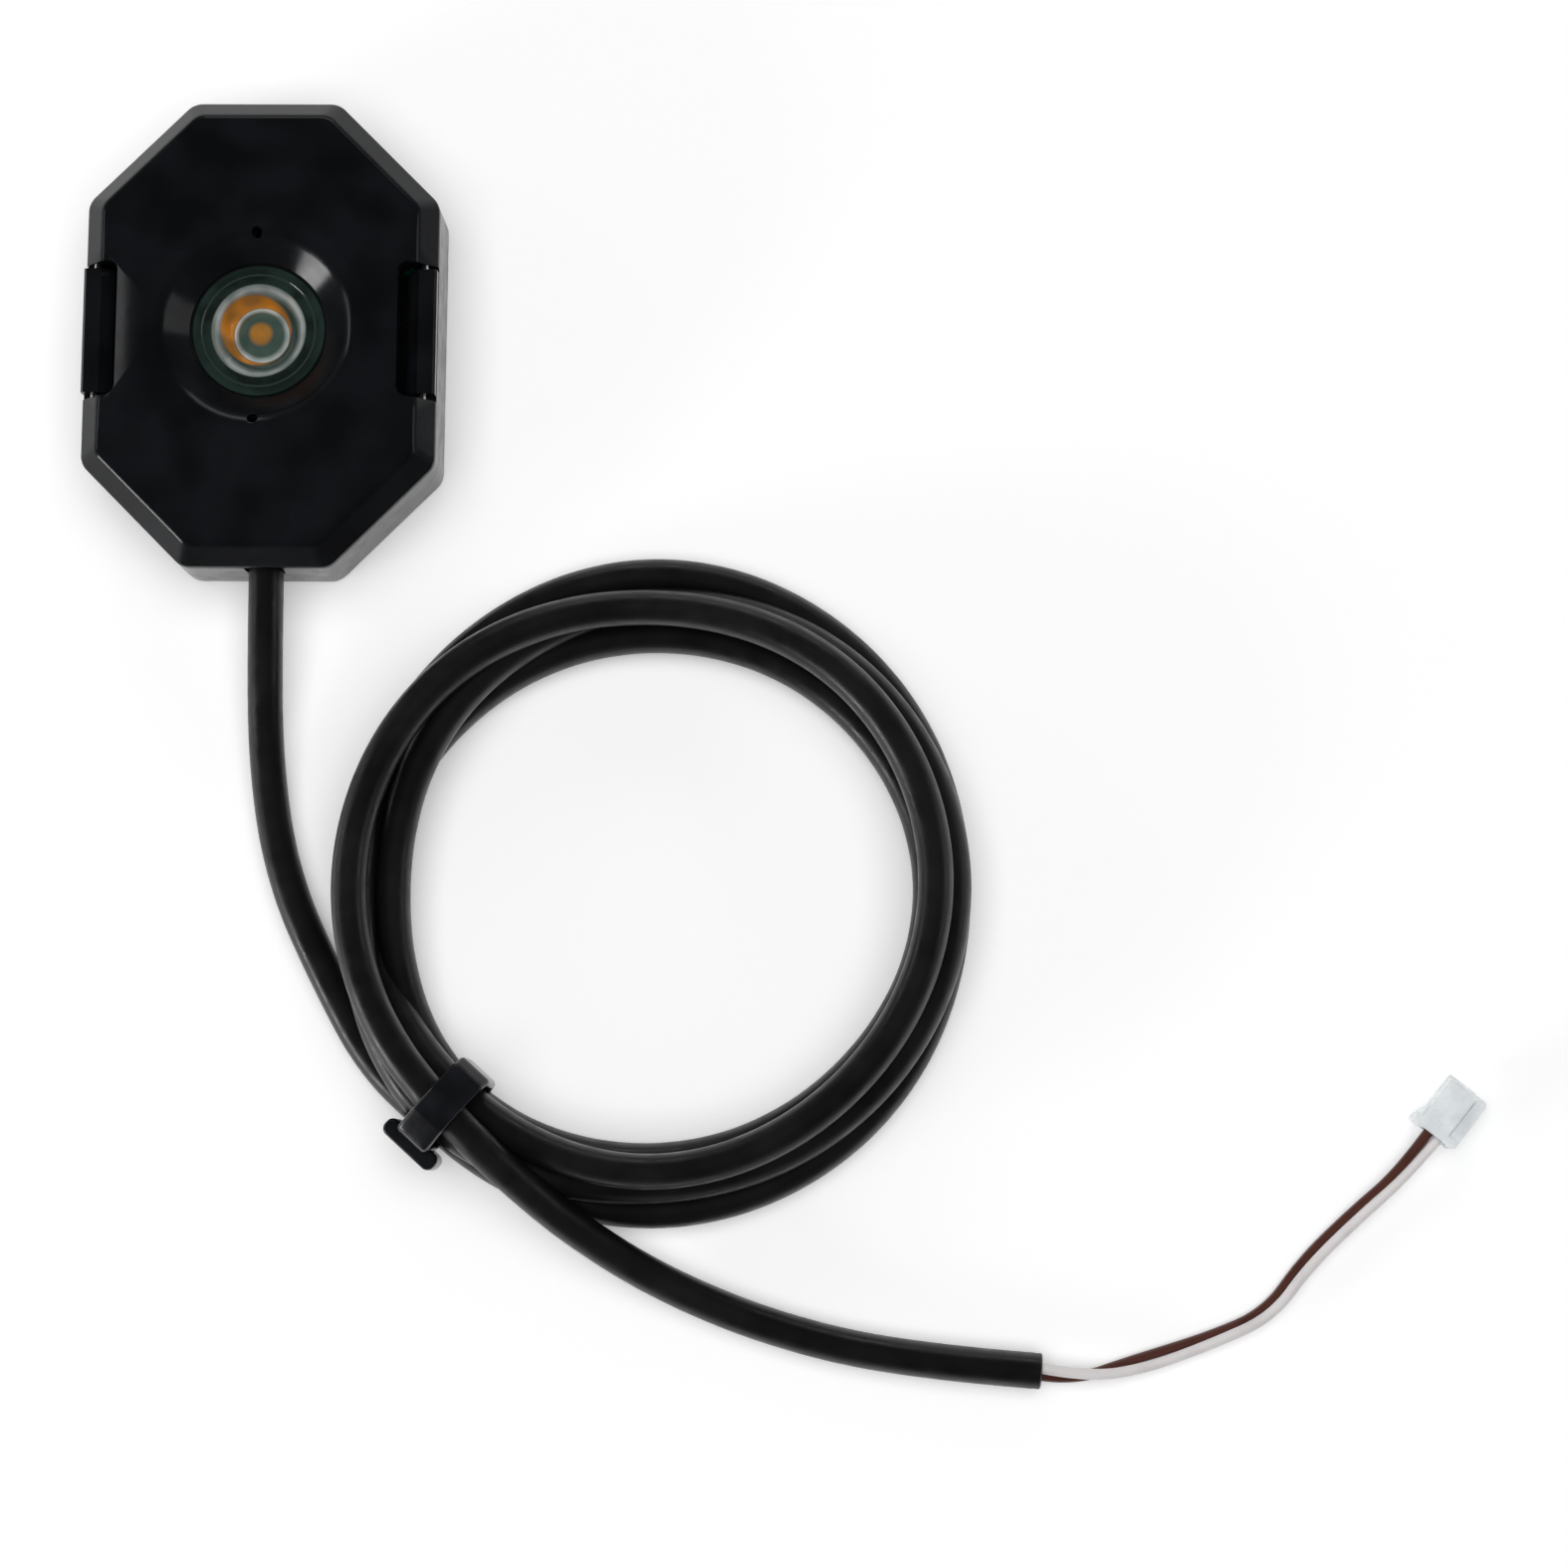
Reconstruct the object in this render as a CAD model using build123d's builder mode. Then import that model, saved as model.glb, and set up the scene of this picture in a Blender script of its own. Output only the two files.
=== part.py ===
from build123d import *
import os
from math import cos, pi, radians, sin, sqrt, tan

os.makedirs("parts", exist_ok=True)

# Head housing, lying on its rear face: X across, Y along, Z towards the front
HEAD_WIDTH = 40.0
HEAD_LENGTH = 53.6
CORNER_CUT = 11.7
CORNER_RADIUS = 2.4
CASE_HEIGHT = 8.9
PARTING_GAP = 0.2
SKIRT_HEIGHT = 0.4
BEVEL_HEIGHT = 2.5
BEVEL_WIDTH = 2.2
CROWN_HEIGHT = 2.3
CASE_WALL = 1.6
CASE_FLOOR = 1.6
COVER_WALL = 1.4
COVER_WALL_FALL = 1.54
BASE_CHAMFER = 0.5

# Recess, lens and emitter
RECESS_RADIUS = 11.3
RECESS_ROUND = 1.2
RECESS_LAND = 0.1
LENS_RADIUS = 7.5
RECESS_DEPTH = 3.3
LENS_FLANGE = 0.8
LENS_CLEARANCE = 0.2
LENS_WELL_RADIUS = 5.3
LENS_WELL_DEPTH = 2.4
LENS_WELL_FLAT = 0.3
LENS_CORE_RADIUS = 3.05
LENS_CORE_CROWN = 1.0
LENS_BOWL_SWELL = 0.45
LENS_THROAT_RADIUS = 2.6
LENS_POCKET_RADIUS = 1.7
LENS_POCKET_DEPTH = 2.0
LENS_LIFT = 0.9
HOLDER_WALL = 1.25
SEAL_THICKNESS = 0.2
LIP_THICKNESS = 0.3
EMITTER_SIDE = 3.5
EMITTER_HEIGHT = 0.6
PHOSPHOR_RADIUS = 1.2
PHOSPHOR_HEIGHT = 0.15
DOME_RADIUS = 1.3
PIN_HOLE_RADIUS = 0.6
PIN_HOLE_DEPTH = 2.5
PIN_HOLE_SPACING = 21.3

# Board and what stands on it
BOARD_THICKNESS = 1.0
BOARD_LIFT = 1.2
BOARD_EDGE_GAP = 0.5
SPREADER_SIZE = (17.0, 22.0)
SPREADER_THICKNESS = 0.8
STANDOFF_X = 11.5
STANDOFF_Y = 16.0
STANDOFF_RADIUS = 2.2
SCREW_RADIUS = 0.9
SCREW_HEAD_RADIUS = 1.8
SCREW_HEAD_HEIGHT = 1.2
SCREW_BITE = 1.6
HOLE_CLEARANCE = 0.2
INDUCTOR_SIZE = (6.0, 6.0, 3.0)
INDUCTOR_PLACE = (-6.0, 14.0)
DRIVER_SIZE = (5.0, 4.0, 1.1)
DRIVER_PLACE = (6.0, 14.0)
CAPACITOR_SIZE = (2.0, 1.25, 1.25)
CAPACITOR_PITCH = 3.0
CAPACITOR_Y = 20.0
RESISTOR_SIZE = (1.6, 0.8, 0.5)
RESISTOR_PITCH = 1.8
RESISTOR_START = (11.0, -6.0)

# Threaded inserts in the rear face
INSERT_GAP = 1.175
INSERT_LENGTH = 3.8
INSERT_RADIUS = 2.1
INSERT_BORE_RADIUS = 1.25
INSERT_POCKET_DEPTH = 4.0
INSERT_BOSS_WALL = 0.9
PRESS_CLEARANCE = 0.01

# Side latches: a bar on a pin, with an arm that hooks into the case wall
LATCH_LENGTH = 14.3
LATCH_WIDTH = 3.3
LATCH_FOOT_GAP = 0.4
LATCH_TOP_RISE = 2.1
LATCH_EDGE = 0.3
LATCH_TOP_WIDTH = 1.7
LATCH_LIP = 0.3
LATCH_SLOT = 0.4
LATCH_END_GAP = 0.6
LATCH_ARM_THICKNESS = 0.9
LATCH_ARM_INSET = 2.8
LATCH_ARM_WIDTH = 8.0
LATCH_ARM_DROP = 2.9
HOOK_REACH = 0.8
HOOK_HEIGHT = 0.8
HOOK_CLEARANCE = 0.3
LEDGE_WIDTH = 3.4
LEDGE_THICKNESS = 0.8
LEDGE_LIFT = 0.5
LATCH_PIN_RADIUS = 0.45
LATCH_PIN_INSET = 1.5
LATCH_PIN_RISE = 1.3
LATCH_PIN_ENGAGEMENT = 0.75
LATCH_RUNNING_CLEARANCE = 0.05
NOTCH_WALL = 1.2
NOTCH_RADIUS = 1.2

# Gasket between the two shells
GASKET_INSET = 0.8
GASKET_WIDTH = 0.7

# Cord: jacket, its entry into the case, and its two cores
CORD_DIAMETER = 4.0
CORD_X = 0.8
CORD_ENTRY_DROP = 2.5
CORD_START_INSET = 9.3
CORD_STRAIGHT = 6.2
CORD_CLEARANCE = 0.15
CORE_DIAMETER = 1.2
GROMMET_WIDTH = 6.4
GROMMET_LENGTH = 3.5
GROMMET_WALL = 0.2
GROMMET_FOOT_GAP = 0.05
CLAMP_LENGTH = 3.0
CLAMP_WALL = 1.2
CLAMP_FOOT = 1.4
CLAMP_SCREW_OFFSET = 5.4
SOLDER_SPACING = 5.0
SOLDER_OFFSET = 5.5
SOLDER_SIZE = (1.6, 1.6, 1.2)

# Coil and its tie
COIL_CENTRE = (44.5, -62.4)
COIL_INNER_RADIUS = 27.5
COIL_OUTER_RADIUS = 37.6
COIL_HEIGHT = 11.4
COIL_ROUND = 3.0
TIE_ANGLE = 226.0
TIE_WIDTH = 4.4
TIE_THICKNESS = 1.0
TIE_BUNDLE = (9.0, 11.5)
TIE_HEAD = (1.9, 7.3, 5.3)
TIE_HEAD_RISE = 2.05
TIE_HEAD_SINK = 0.4
TIE_CLEARANCE = 0.05

# Connector
CONNECTOR_CENTRE = (134.3, -86.3)
CONNECTOR_ANGLE = 52.0
CONNECTOR_SIZE = (7.0, 5.2, 4.2)
CONNECTOR_FLANGE = (1.6, 6.2)
CONTACT_PITCH = 2.0
CONTACT_CAVITY = 1.5
CONTACT_SIZE = 1.26
CORE_INSERTION = 2.0
CONTACT_LENGTH = 4.0
CORE_APPROACH = 5.0
CORE_STAGGER = 0.45
CORE_LEVELS = (2.75, 1.35)

# Heights that follow from the sizes above
board_bottom = CASE_FLOOR + BOARD_LIFT
board_top = board_bottom + BOARD_THICKNESS
cover_bottom = CASE_HEIGHT + PARTING_GAP
bevel_bottom = cover_bottom + SKIRT_HEIGHT
bevel_top = bevel_bottom + BEVEL_HEIGHT
crown_top = bevel_top + CROWN_HEIGHT
lens_top = crown_top - RECESS_DEPTH
latch_top = CASE_HEIGHT + LATCH_TOP_RISE
latch_pin_height = CASE_HEIGHT + LATCH_PIN_RISE
arm_foot = CASE_HEIGHT - LATCH_ARM_DROP
cord_height = CASE_HEIGHT - CORD_ENTRY_DROP
lens_bottom = board_top + LENS_LIFT
flange_bottom = lens_top - LENS_FLANGE
lens_opening = LENS_RADIUS + LENS_CLEARANCE
lip_bottom = lens_top - LIP_THICKNESS / 2
seal_bottom = lip_bottom - SEAL_THICKNESS
holder_outer = lens_opening + HOLDER_WALL / 2
crown_apothem = RECESS_RADIUS + RECESS_LAND
boss_radius = INSERT_RADIUS + INSERT_BOSS_WALL
boss_top = INSERT_POCKET_DEPTH + INSERT_BOSS_WALL
insert_spacing = 2 * (holder_outer + boss_radius + INSERT_GAP)
latch_inner = HEAD_WIDTH / 2 - LATCH_WIDTH
latch_foot = CASE_HEIGHT + LATCH_FOOT_GAP
notch_inner = latch_inner - LATCH_SLOT
notch_length = LATCH_LENGTH + 2 * LATCH_END_GAP
arm_inner = HEAD_WIDTH / 2 - LATCH_ARM_INSET
arm_outer = arm_inner + LATCH_ARM_THICKNESS
case_inner_x = HEAD_WIDTH / 2 - CASE_WALL
latch_pin_x = HEAD_WIDTH / 2 - LATCH_PIN_INSET
core_radius = CORE_DIAMETER / 2
cord_inner_end = CORD_START_INSET - HEAD_LENGTH / 2
solder_y = cord_inner_end + SOLDER_OFFSET
grommet_top = cord_height + CORD_DIAMETER / 2 + GROMMET_WALL
window_reach = HOOK_REACH + 1.5 * HOOK_CLEARANCE - (case_inner_x - arm_outer)

# Routes of the jacket, from end to end; the coil lies between the lead and the tail
LEAD_ROUTE = [
    (CORD_X, cord_inner_end, cord_height),
    (CORD_X, -HEAD_LENGTH / 2 - CORD_STRAIGHT, cord_height),
    (0.6, -48.5, 2.2),
    (3.0, -61.5, 2.05),
    (8.6, -73.2, 2.05),
]
TAIL_ROUTE = [
    (29.5, -94.0, 6.8),
    (36.5, -100.0, 5.0),
    (46.5, -106.2, 2.6),
    (59.5, -111.3, 2.05),
    (73.7, -114.3, 2.05),
    (87.7, -115.3, 2.05),
]


def octagon(sketch, inset, radius):
    """Outline of the head, moved in by inset, with rounded corners."""
    half_width = HEAD_WIDTH / 2 - inset
    half_length = HEAD_LENGTH / 2 - inset
    cut = CORNER_CUT - inset * (2 - sqrt(2))
    corners = [
        (half_width - cut, half_length),
        (half_width, half_length - cut),
        (half_width, cut - half_length),
        (half_width - cut, -half_length),
        (cut - half_width, -half_length),
        (-half_width, cut - half_length),
        (-half_width, half_length - cut),
        (cut - half_width, half_length),
    ]
    Polygon(*corners, align=None)
    fillet(sketch.vertices(), radius)


def crown_octagon(sketch, apothem, radius):
    """Regular octagon around the recess, flats parallel to the outline's."""
    RegularPolygon(apothem, 8, major_radius=False, rotation=22.5)
    fillet(sketch.vertices(), radius)


def save(builder, label):
    """Label a finished piece and write it."""
    builder.part.label = label
    export_step(builder.part, f"parts/{label}.step")


def corner_radii(points):
    """Largest gentle arc that each corner of a route has room for."""
    radii = []
    for before, corner, after in zip(points, points[1:], points[2:]):
        run_in = Vector(*corner) - Vector(*before)
        run_out = Vector(*after) - Vector(*corner)
        half_turn = radians(run_in.get_angle(run_out)) / 2
        radii.append(0.45 * min(run_in.length, run_out.length) / tan(half_turn))
    return radii


def make_tube(points, diameter, label):
    """Round tube of straight runs and tangent arcs along a route."""
    radii = corner_radii(points)
    with BuildPart() as tube:
        with BuildLine() as route:
            FilletPolyline(*points, radius=radii)
        path = route.wires()[0]
        start = Plane(origin=path @ 0, z_dir=path % 0)
        with BuildSketch(start):
            Circle(diameter / 2)
        sweep(path=path)
    ideal = pi * diameter**2 / 4 * path.length
    print(label, "radii", [round(radius, 1) for radius in radii])
    print(label, "length", round(path.length, 1), "volume ratio", round(tube.part.volume / ideal, 4))
    save(tube, label)
    return tube


# --- Rear case: a tray with board posts, insert bosses and the latch windows ---
post_places = [(x, y) for x in (-STANDOFF_X, STANDOFF_X) for y in (-STANDOFF_Y, STANDOFF_Y)]
clamp_y = cord_inner_end - 1.0 - CLAMP_LENGTH / 2
clamp_places = [(CORD_X + side * CLAMP_SCREW_OFFSET, clamp_y) for side in (-1, 1)]
insert_places = [(side * insert_spacing / 2, 0) for side in (-1, 1)]
cord_axis = Plane(origin=(CORD_X, 0, cord_height), x_dir=(1, 0, 0), z_dir=(0, -1, 0))

with BuildPart() as rear_case:
    with BuildSketch() as base_sketch:
        octagon(base_sketch, 0, CORNER_RADIUS)
    extrude(amount=CASE_HEIGHT)
    chamfer(rear_case.faces().sort_by(Axis.Z)[0].edges(), BASE_CHAMFER)
    with BuildSketch(Plane.XY.offset(CASE_FLOOR)) as tray_sketch:
        octagon(tray_sketch, CASE_WALL, CORNER_RADIUS - CASE_WALL / 2)
    extrude(amount=CASE_HEIGHT, mode=Mode.SUBTRACT)
    with BuildSketch(Plane.XY.offset(CASE_FLOOR)):
        with Locations(*post_places, *clamp_places):
            Circle(STANDOFF_RADIUS)
    extrude(amount=BOARD_LIFT)
    with BuildSketch(Plane.XY.offset(CASE_FLOOR)):
        with Locations(*insert_places):
            Circle(boss_radius)
    extrude(amount=boss_top - CASE_FLOOR)
    with BuildSketch(Plane.XY.offset(board_top + LEDGE_LIFT)):
        for side in (-1, 1):
            with Locations((side * (case_inner_x - LEDGE_WIDTH / 2 + CASE_WALL / 4), 0)):
                Rectangle(LEDGE_WIDTH + CASE_WALL / 2, notch_length)
    extrude(amount=LEDGE_THICKNESS)
    with BuildSketch(Plane.XY.offset(board_bottom)):
        with Locations(*post_places, *clamp_places):
            Circle(SCREW_RADIUS + PRESS_CLEARANCE)
    extrude(amount=-SCREW_BITE - HOLE_CLEARANCE, mode=Mode.SUBTRACT)
    with BuildSketch():
        with Locations(*insert_places):
            Circle(INSERT_RADIUS + PRESS_CLEARANCE)
    extrude(amount=INSERT_POCKET_DEPTH, mode=Mode.SUBTRACT)
    with BuildSketch(Plane.XY.offset(arm_foot - HOOK_CLEARANCE)):
        with Locations((-case_inner_x, 0), (case_inner_x, 0)):
            Rectangle(2 * window_reach, LATCH_ARM_WIDTH + 2 * HOOK_CLEARANCE)
    extrude(amount=HOOK_HEIGHT + 2 * HOOK_CLEARANCE, mode=Mode.SUBTRACT)
    with BuildSketch(cord_axis.offset(HEAD_LENGTH / 2 - 2 * CASE_WALL)):
        Circle(CORD_DIAMETER / 2 + CORD_CLEARANCE)
        with Locations((0, CASE_HEIGHT / 2)):
            Rectangle(CORD_DIAMETER + 2 * CORD_CLEARANCE, CASE_HEIGHT)
    extrude(amount=3 * CASE_WALL, mode=Mode.SUBTRACT)
save(rear_case, "rear_case")

# --- Mounting inserts ---
with BuildPart() as mount_inserts:
    with BuildSketch():
        with Locations(*insert_places):
            Circle(INSERT_RADIUS)
            Circle(INSERT_BORE_RADIUS, mode=Mode.SUBTRACT)
    extrude(amount=INSERT_LENGTH)
save(mount_inserts, "mount_inserts")

# --- Gasket on the case rim ---
with BuildPart() as case_seal:
    with BuildSketch(Plane.XY.offset(CASE_HEIGHT)) as gasket_sketch:
        octagon(gasket_sketch, GASKET_INSET, CORNER_RADIUS - GASKET_INSET / 2)
    extrude(amount=PARTING_GAP)
    with BuildSketch(Plane.XY.offset(CASE_HEIGHT)) as gasket_hole:
        octagon(gasket_hole, GASKET_INSET + GASKET_WIDTH, CORNER_RADIUS - GASKET_WIDTH)
    extrude(amount=PARTING_GAP, mode=Mode.SUBTRACT)
save(case_seal, "case_seal")

# --- Front cover: skirt, bevel and faceted crown around the recess ---
with BuildPart() as cover_cavity:
    with BuildSketch(Plane.XY.offset(cover_bottom - 1)) as section:
        octagon(section, CASE_WALL, CORNER_RADIUS - CASE_WALL / 2)
    with BuildSketch(Plane.XY.offset(cover_bottom)) as section:
        octagon(section, CASE_WALL, CORNER_RADIUS - CASE_WALL / 2)
    with BuildSketch(Plane.XY.offset(bevel_top - COVER_WALL_FALL)) as section:
        octagon(section, BEVEL_WIDTH + COVER_WALL, CORNER_RADIUS - CASE_WALL / 2)
    with BuildSketch(Plane.XY.offset(crown_top - COVER_WALL_FALL)) as section:
        crown_octagon(section, crown_apothem, CORNER_RADIUS - CASE_WALL / 2)
    loft(ruled=True)
    with BuildSketch(Plane.XY.offset(cover_bottom - 1)):
        for side in (-1, 1):
            with Locations((side * (notch_inner - NOTCH_WALL + HEAD_WIDTH / 2), 0)):
                Rectangle(HEAD_WIDTH, notch_length + 2 * NOTCH_WALL)
    extrude(amount=crown_top, mode=Mode.SUBTRACT)

with BuildPart() as front_cover:
    with BuildSketch(Plane.XY.offset(cover_bottom)) as section:
        octagon(section, 0, CORNER_RADIUS)
    with BuildSketch(Plane.XY.offset(bevel_bottom)) as section:
        octagon(section, 0, CORNER_RADIUS)
    with BuildSketch(Plane.XY.offset(bevel_top)) as section:
        octagon(section, BEVEL_WIDTH, CORNER_RADIUS)
    with BuildSketch(Plane.XY.offset(crown_top)) as section:
        crown_octagon(section, crown_apothem, CORNER_RADIUS)
    loft(ruled=True)
    add(cover_cavity.part, mode=Mode.SUBTRACT)
    with BuildSketch(Plane.XZ):
        Polygon((0, lip_bottom), (lens_opening + COVER_WALL, lip_bottom),
                (RECESS_RADIUS + RECESS_LAND, crown_top - COVER_WALL_FALL),
                (RECESS_RADIUS + RECESS_LAND, crown_top - RECESS_ROUND / 2),
                (0, crown_top - RECESS_ROUND / 2), align=None)
    revolve(axis=Axis.Z)
    with BuildSketch(Plane.XZ):
        with BuildLine():
            arc = RadiusArc((RECESS_RADIUS, crown_top),
                            (RECESS_RADIUS - RECESS_ROUND, crown_top - RECESS_ROUND), -RECESS_ROUND)
            Polyline(arc @ 1, (lens_opening, lip_bottom + LIP_THICKNESS), (lens_opening, lip_bottom - 1),
                     (0, lip_bottom - 1), (0, crown_top + 1), (RECESS_RADIUS, crown_top + 1), arc @ 0)
        make_face()
    revolve(axis=Axis.Z, mode=Mode.SUBTRACT)
    with BuildSketch(Plane.XY.offset(crown_top)):
        with Locations((0, -PIN_HOLE_SPACING / 2), (0, PIN_HOLE_SPACING / 2)):
            Circle(PIN_HOLE_RADIUS)
    extrude(amount=-PIN_HOLE_DEPTH, mode=Mode.SUBTRACT)
    with BuildSketch(Plane.XY.offset(cover_bottom)) as notches:
        for side in (-1, 1):
            with Locations((side * (notch_inner + HEAD_WIDTH / 4), 0)):
                Rectangle(HEAD_WIDTH / 2, notch_length)
        fillet(notches.vertices().filter_by(lambda v: abs(v.X) < HEAD_WIDTH / 2), NOTCH_RADIUS)
    extrude(amount=crown_top, mode=Mode.SUBTRACT)
    for side in (-1, 1):
        pin_line = Plane(origin=(side * latch_pin_x, 0, latch_pin_height), z_dir=(0, 1, 0))
        with BuildSketch(pin_line):
            Circle(LATCH_PIN_RADIUS + PRESS_CLEARANCE)
        extrude(amount=notch_length / 2 + LATCH_PIN_ENGAGEMENT, both=True, mode=Mode.SUBTRACT)
save(front_cover, "front_cover")

# --- Latches and their pins ---
for side, word in ((-1, "left"), (1, "right")):
    pin_line = Plane(origin=(side * latch_pin_x, 0, latch_pin_height), z_dir=(0, 1, 0))
    with BuildPart() as latch:
        outer = HEAD_WIDTH / 2
        step = LATCH_FOOT_GAP / 2
        top_outer = outer - LATCH_EDGE
        profile = [(latch_inner, latch_foot), (outer - step, latch_foot), (outer, latch_foot + step),
                   (outer, latch_top - LATCH_EDGE), (top_outer, latch_top),
                   (top_outer - LATCH_TOP_WIDTH, latch_top), (latch_inner, latch_foot + LATCH_LIP)]
        with BuildSketch(Plane.XZ):
            Polygon(*[(side * x, z) for x, z in profile], align=None)
        extrude(amount=LATCH_LENGTH / 2, both=True)
        hook_top = arm_foot + HOOK_HEIGHT
        arm = [(arm_inner, arm_foot), (arm_outer, arm_foot),
               (arm_outer + HOOK_REACH, hook_top - HOOK_HEIGHT / 2), (arm_outer + HOOK_REACH, hook_top),
               (arm_outer, hook_top), (arm_outer, latch_pin_height), (arm_inner, latch_pin_height)]
        with BuildSketch(Plane.XZ):
            Polygon(*[(side * x, z) for x, z in arm], align=None)
        extrude(amount=LATCH_ARM_WIDTH / 2, both=True)
        with BuildSketch(pin_line):
            Circle(LATCH_PIN_RADIUS + LATCH_RUNNING_CLEARANCE)
        extrude(amount=LATCH_LENGTH, both=True, mode=Mode.SUBTRACT)
    save(latch, f"latch_{word}")
    with BuildPart() as latch_pin:
        with BuildSketch(pin_line):
            Circle(LATCH_PIN_RADIUS)
        extrude(amount=notch_length / 2 + LATCH_PIN_ENGAGEMENT, both=True)
    save(latch_pin, f"latch_pin_{word}")

# --- Collimator lens: a flanged bowl with a domed core at the foot of its well ---
well_floor = lens_top - LENS_WELL_DEPTH
pocket_top = lens_bottom + LENS_POCKET_DEPTH
bowl_top = LENS_RADIUS - LENS_CLEARANCE * 3
with BuildPart() as collimator_lens:
    with BuildSketch(Plane.XZ):
        with BuildLine():
            dome = ThreePointArc((0, well_floor + LENS_CORE_CROWN),
                                 (LENS_CORE_RADIUS * sqrt(0.5) * 0.8, well_floor + LENS_CORE_CROWN * 0.72),
                                 (LENS_CORE_RADIUS, well_floor))
            Polyline(dome @ 1, (LENS_CORE_RADIUS + LENS_WELL_FLAT, well_floor), (LENS_WELL_RADIUS, lens_top),
                     (LENS_RADIUS, lens_top), (LENS_RADIUS, flange_bottom), (bowl_top, flange_bottom))
            mid = ((bowl_top + LENS_THROAT_RADIUS) / 2 + LENS_BOWL_SWELL, (flange_bottom + lens_bottom) / 2)
            ThreePointArc((bowl_top, flange_bottom), mid, (LENS_THROAT_RADIUS, lens_bottom))
            Polyline((LENS_THROAT_RADIUS, lens_bottom), (LENS_POCKET_RADIUS, lens_bottom),
                     (LENS_POCKET_RADIUS, pocket_top), (0, pocket_top), dome @ 0)
        make_face()
    revolve(axis=Axis.Z)
save(collimator_lens, "collimator_lens")

# --- Lens holder and seal ---
with BuildPart() as lens_holder:
    with BuildSketch(Plane.XY.offset(board_top)):
        Circle(holder_outer)
        Circle(bowl_top + LENS_CLEARANCE / 2, mode=Mode.SUBTRACT)
    extrude(amount=flange_bottom - board_top)
    with BuildSketch(Plane.XY.offset(flange_bottom)):
        Circle(holder_outer)
        Circle(LENS_RADIUS + LENS_CLEARANCE / 2, mode=Mode.SUBTRACT)
    extrude(amount=seal_bottom - flange_bottom)
save(lens_holder, "lens_holder")

with BuildPart() as lens_seal:
    with BuildSketch(Plane.XY.offset(seal_bottom)):
        Circle(holder_outer)
        Circle(lens_opening, mode=Mode.SUBTRACT)
    extrude(amount=SEAL_THICKNESS)
save(lens_seal, "lens_seal")

# --- Emitter: ceramic package, phosphor disc and clear dome ---
phosphor_bottom = board_top + EMITTER_HEIGHT
dome_bottom = phosphor_bottom + PHOSPHOR_HEIGHT
with BuildPart() as emitter_package:
    with BuildSketch(Plane.XY.offset(board_top)):
        Rectangle(EMITTER_SIDE, EMITTER_SIDE)
    extrude(amount=EMITTER_HEIGHT)
save(emitter_package, "emitter_package")

with BuildPart() as emitter_phosphor:
    with BuildSketch(Plane.XY.offset(phosphor_bottom)):
        Circle(PHOSPHOR_RADIUS)
    extrude(amount=PHOSPHOR_HEIGHT)
save(emitter_phosphor, "emitter_phosphor")

with BuildPart() as emitter_dome:
    with BuildSketch(Plane.XZ):
        with BuildLine():
            curve = CenterArc((0, dome_bottom), DOME_RADIUS, 0, 90)
            Polyline(curve @ 1, (0, dome_bottom), curve @ 0)
        make_face()
    revolve(axis=Axis.Z)
save(emitter_dome, "emitter_dome")

# --- Circuit board, heat spreader and thermal pad ---
with BuildPart() as circuit_board:
    with BuildSketch(Plane.XY.offset(board_bottom)) as board_sketch:
        octagon(board_sketch, CASE_WALL + BOARD_EDGE_GAP, CORNER_RADIUS - CASE_WALL / 2)
        with Locations(*post_places, *clamp_places):
            Circle(SCREW_RADIUS + HOLE_CLEARANCE, mode=Mode.SUBTRACT)
        with Locations(*insert_places):
            Circle(boss_radius + HOLE_CLEARANCE, mode=Mode.SUBTRACT)
    extrude(amount=BOARD_THICKNESS)
save(circuit_board, "circuit_board")

with BuildPart() as heat_spreader:
    with BuildSketch(Plane.XY.offset(board_bottom)):
        Rectangle(*SPREADER_SIZE)
    extrude(amount=-SPREADER_THICKNESS)
save(heat_spreader, "heat_spreader")

with BuildPart() as thermal_pad:
    with BuildSketch(Plane.XY.offset(CASE_FLOOR)):
        Rectangle(*SPREADER_SIZE)
    extrude(amount=BOARD_LIFT - SPREADER_THICKNESS)
save(thermal_pad, "thermal_pad")


def make_chips(size, places, label):
    """Group of like blocks standing on the board."""
    with BuildPart() as chips:
        with BuildSketch(Plane.XY.offset(board_top)):
            with Locations(*places):
                Rectangle(size[0], size[1])
        extrude(amount=size[2])
    save(chips, label)


make_chips(INDUCTOR_SIZE, [INDUCTOR_PLACE], "inductor")
make_chips(DRIVER_SIZE, [DRIVER_PLACE], "driver_chip")
capacitor_places = [((i - 1.5) * CAPACITOR_PITCH, CAPACITOR_Y) for i in range(4)]
resistor_places = [(RESISTOR_START[0], RESISTOR_START[1] - i * RESISTOR_PITCH) for i in range(4)]
make_chips(CAPACITOR_SIZE, capacitor_places, "capacitors")
make_chips(RESISTOR_SIZE, resistor_places, "resistors")
solder_places = [(side * SOLDER_SPACING / 2, solder_y) for side in (-1, 1)]
make_chips(SOLDER_SIZE, solder_places, "solder_joints")


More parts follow.
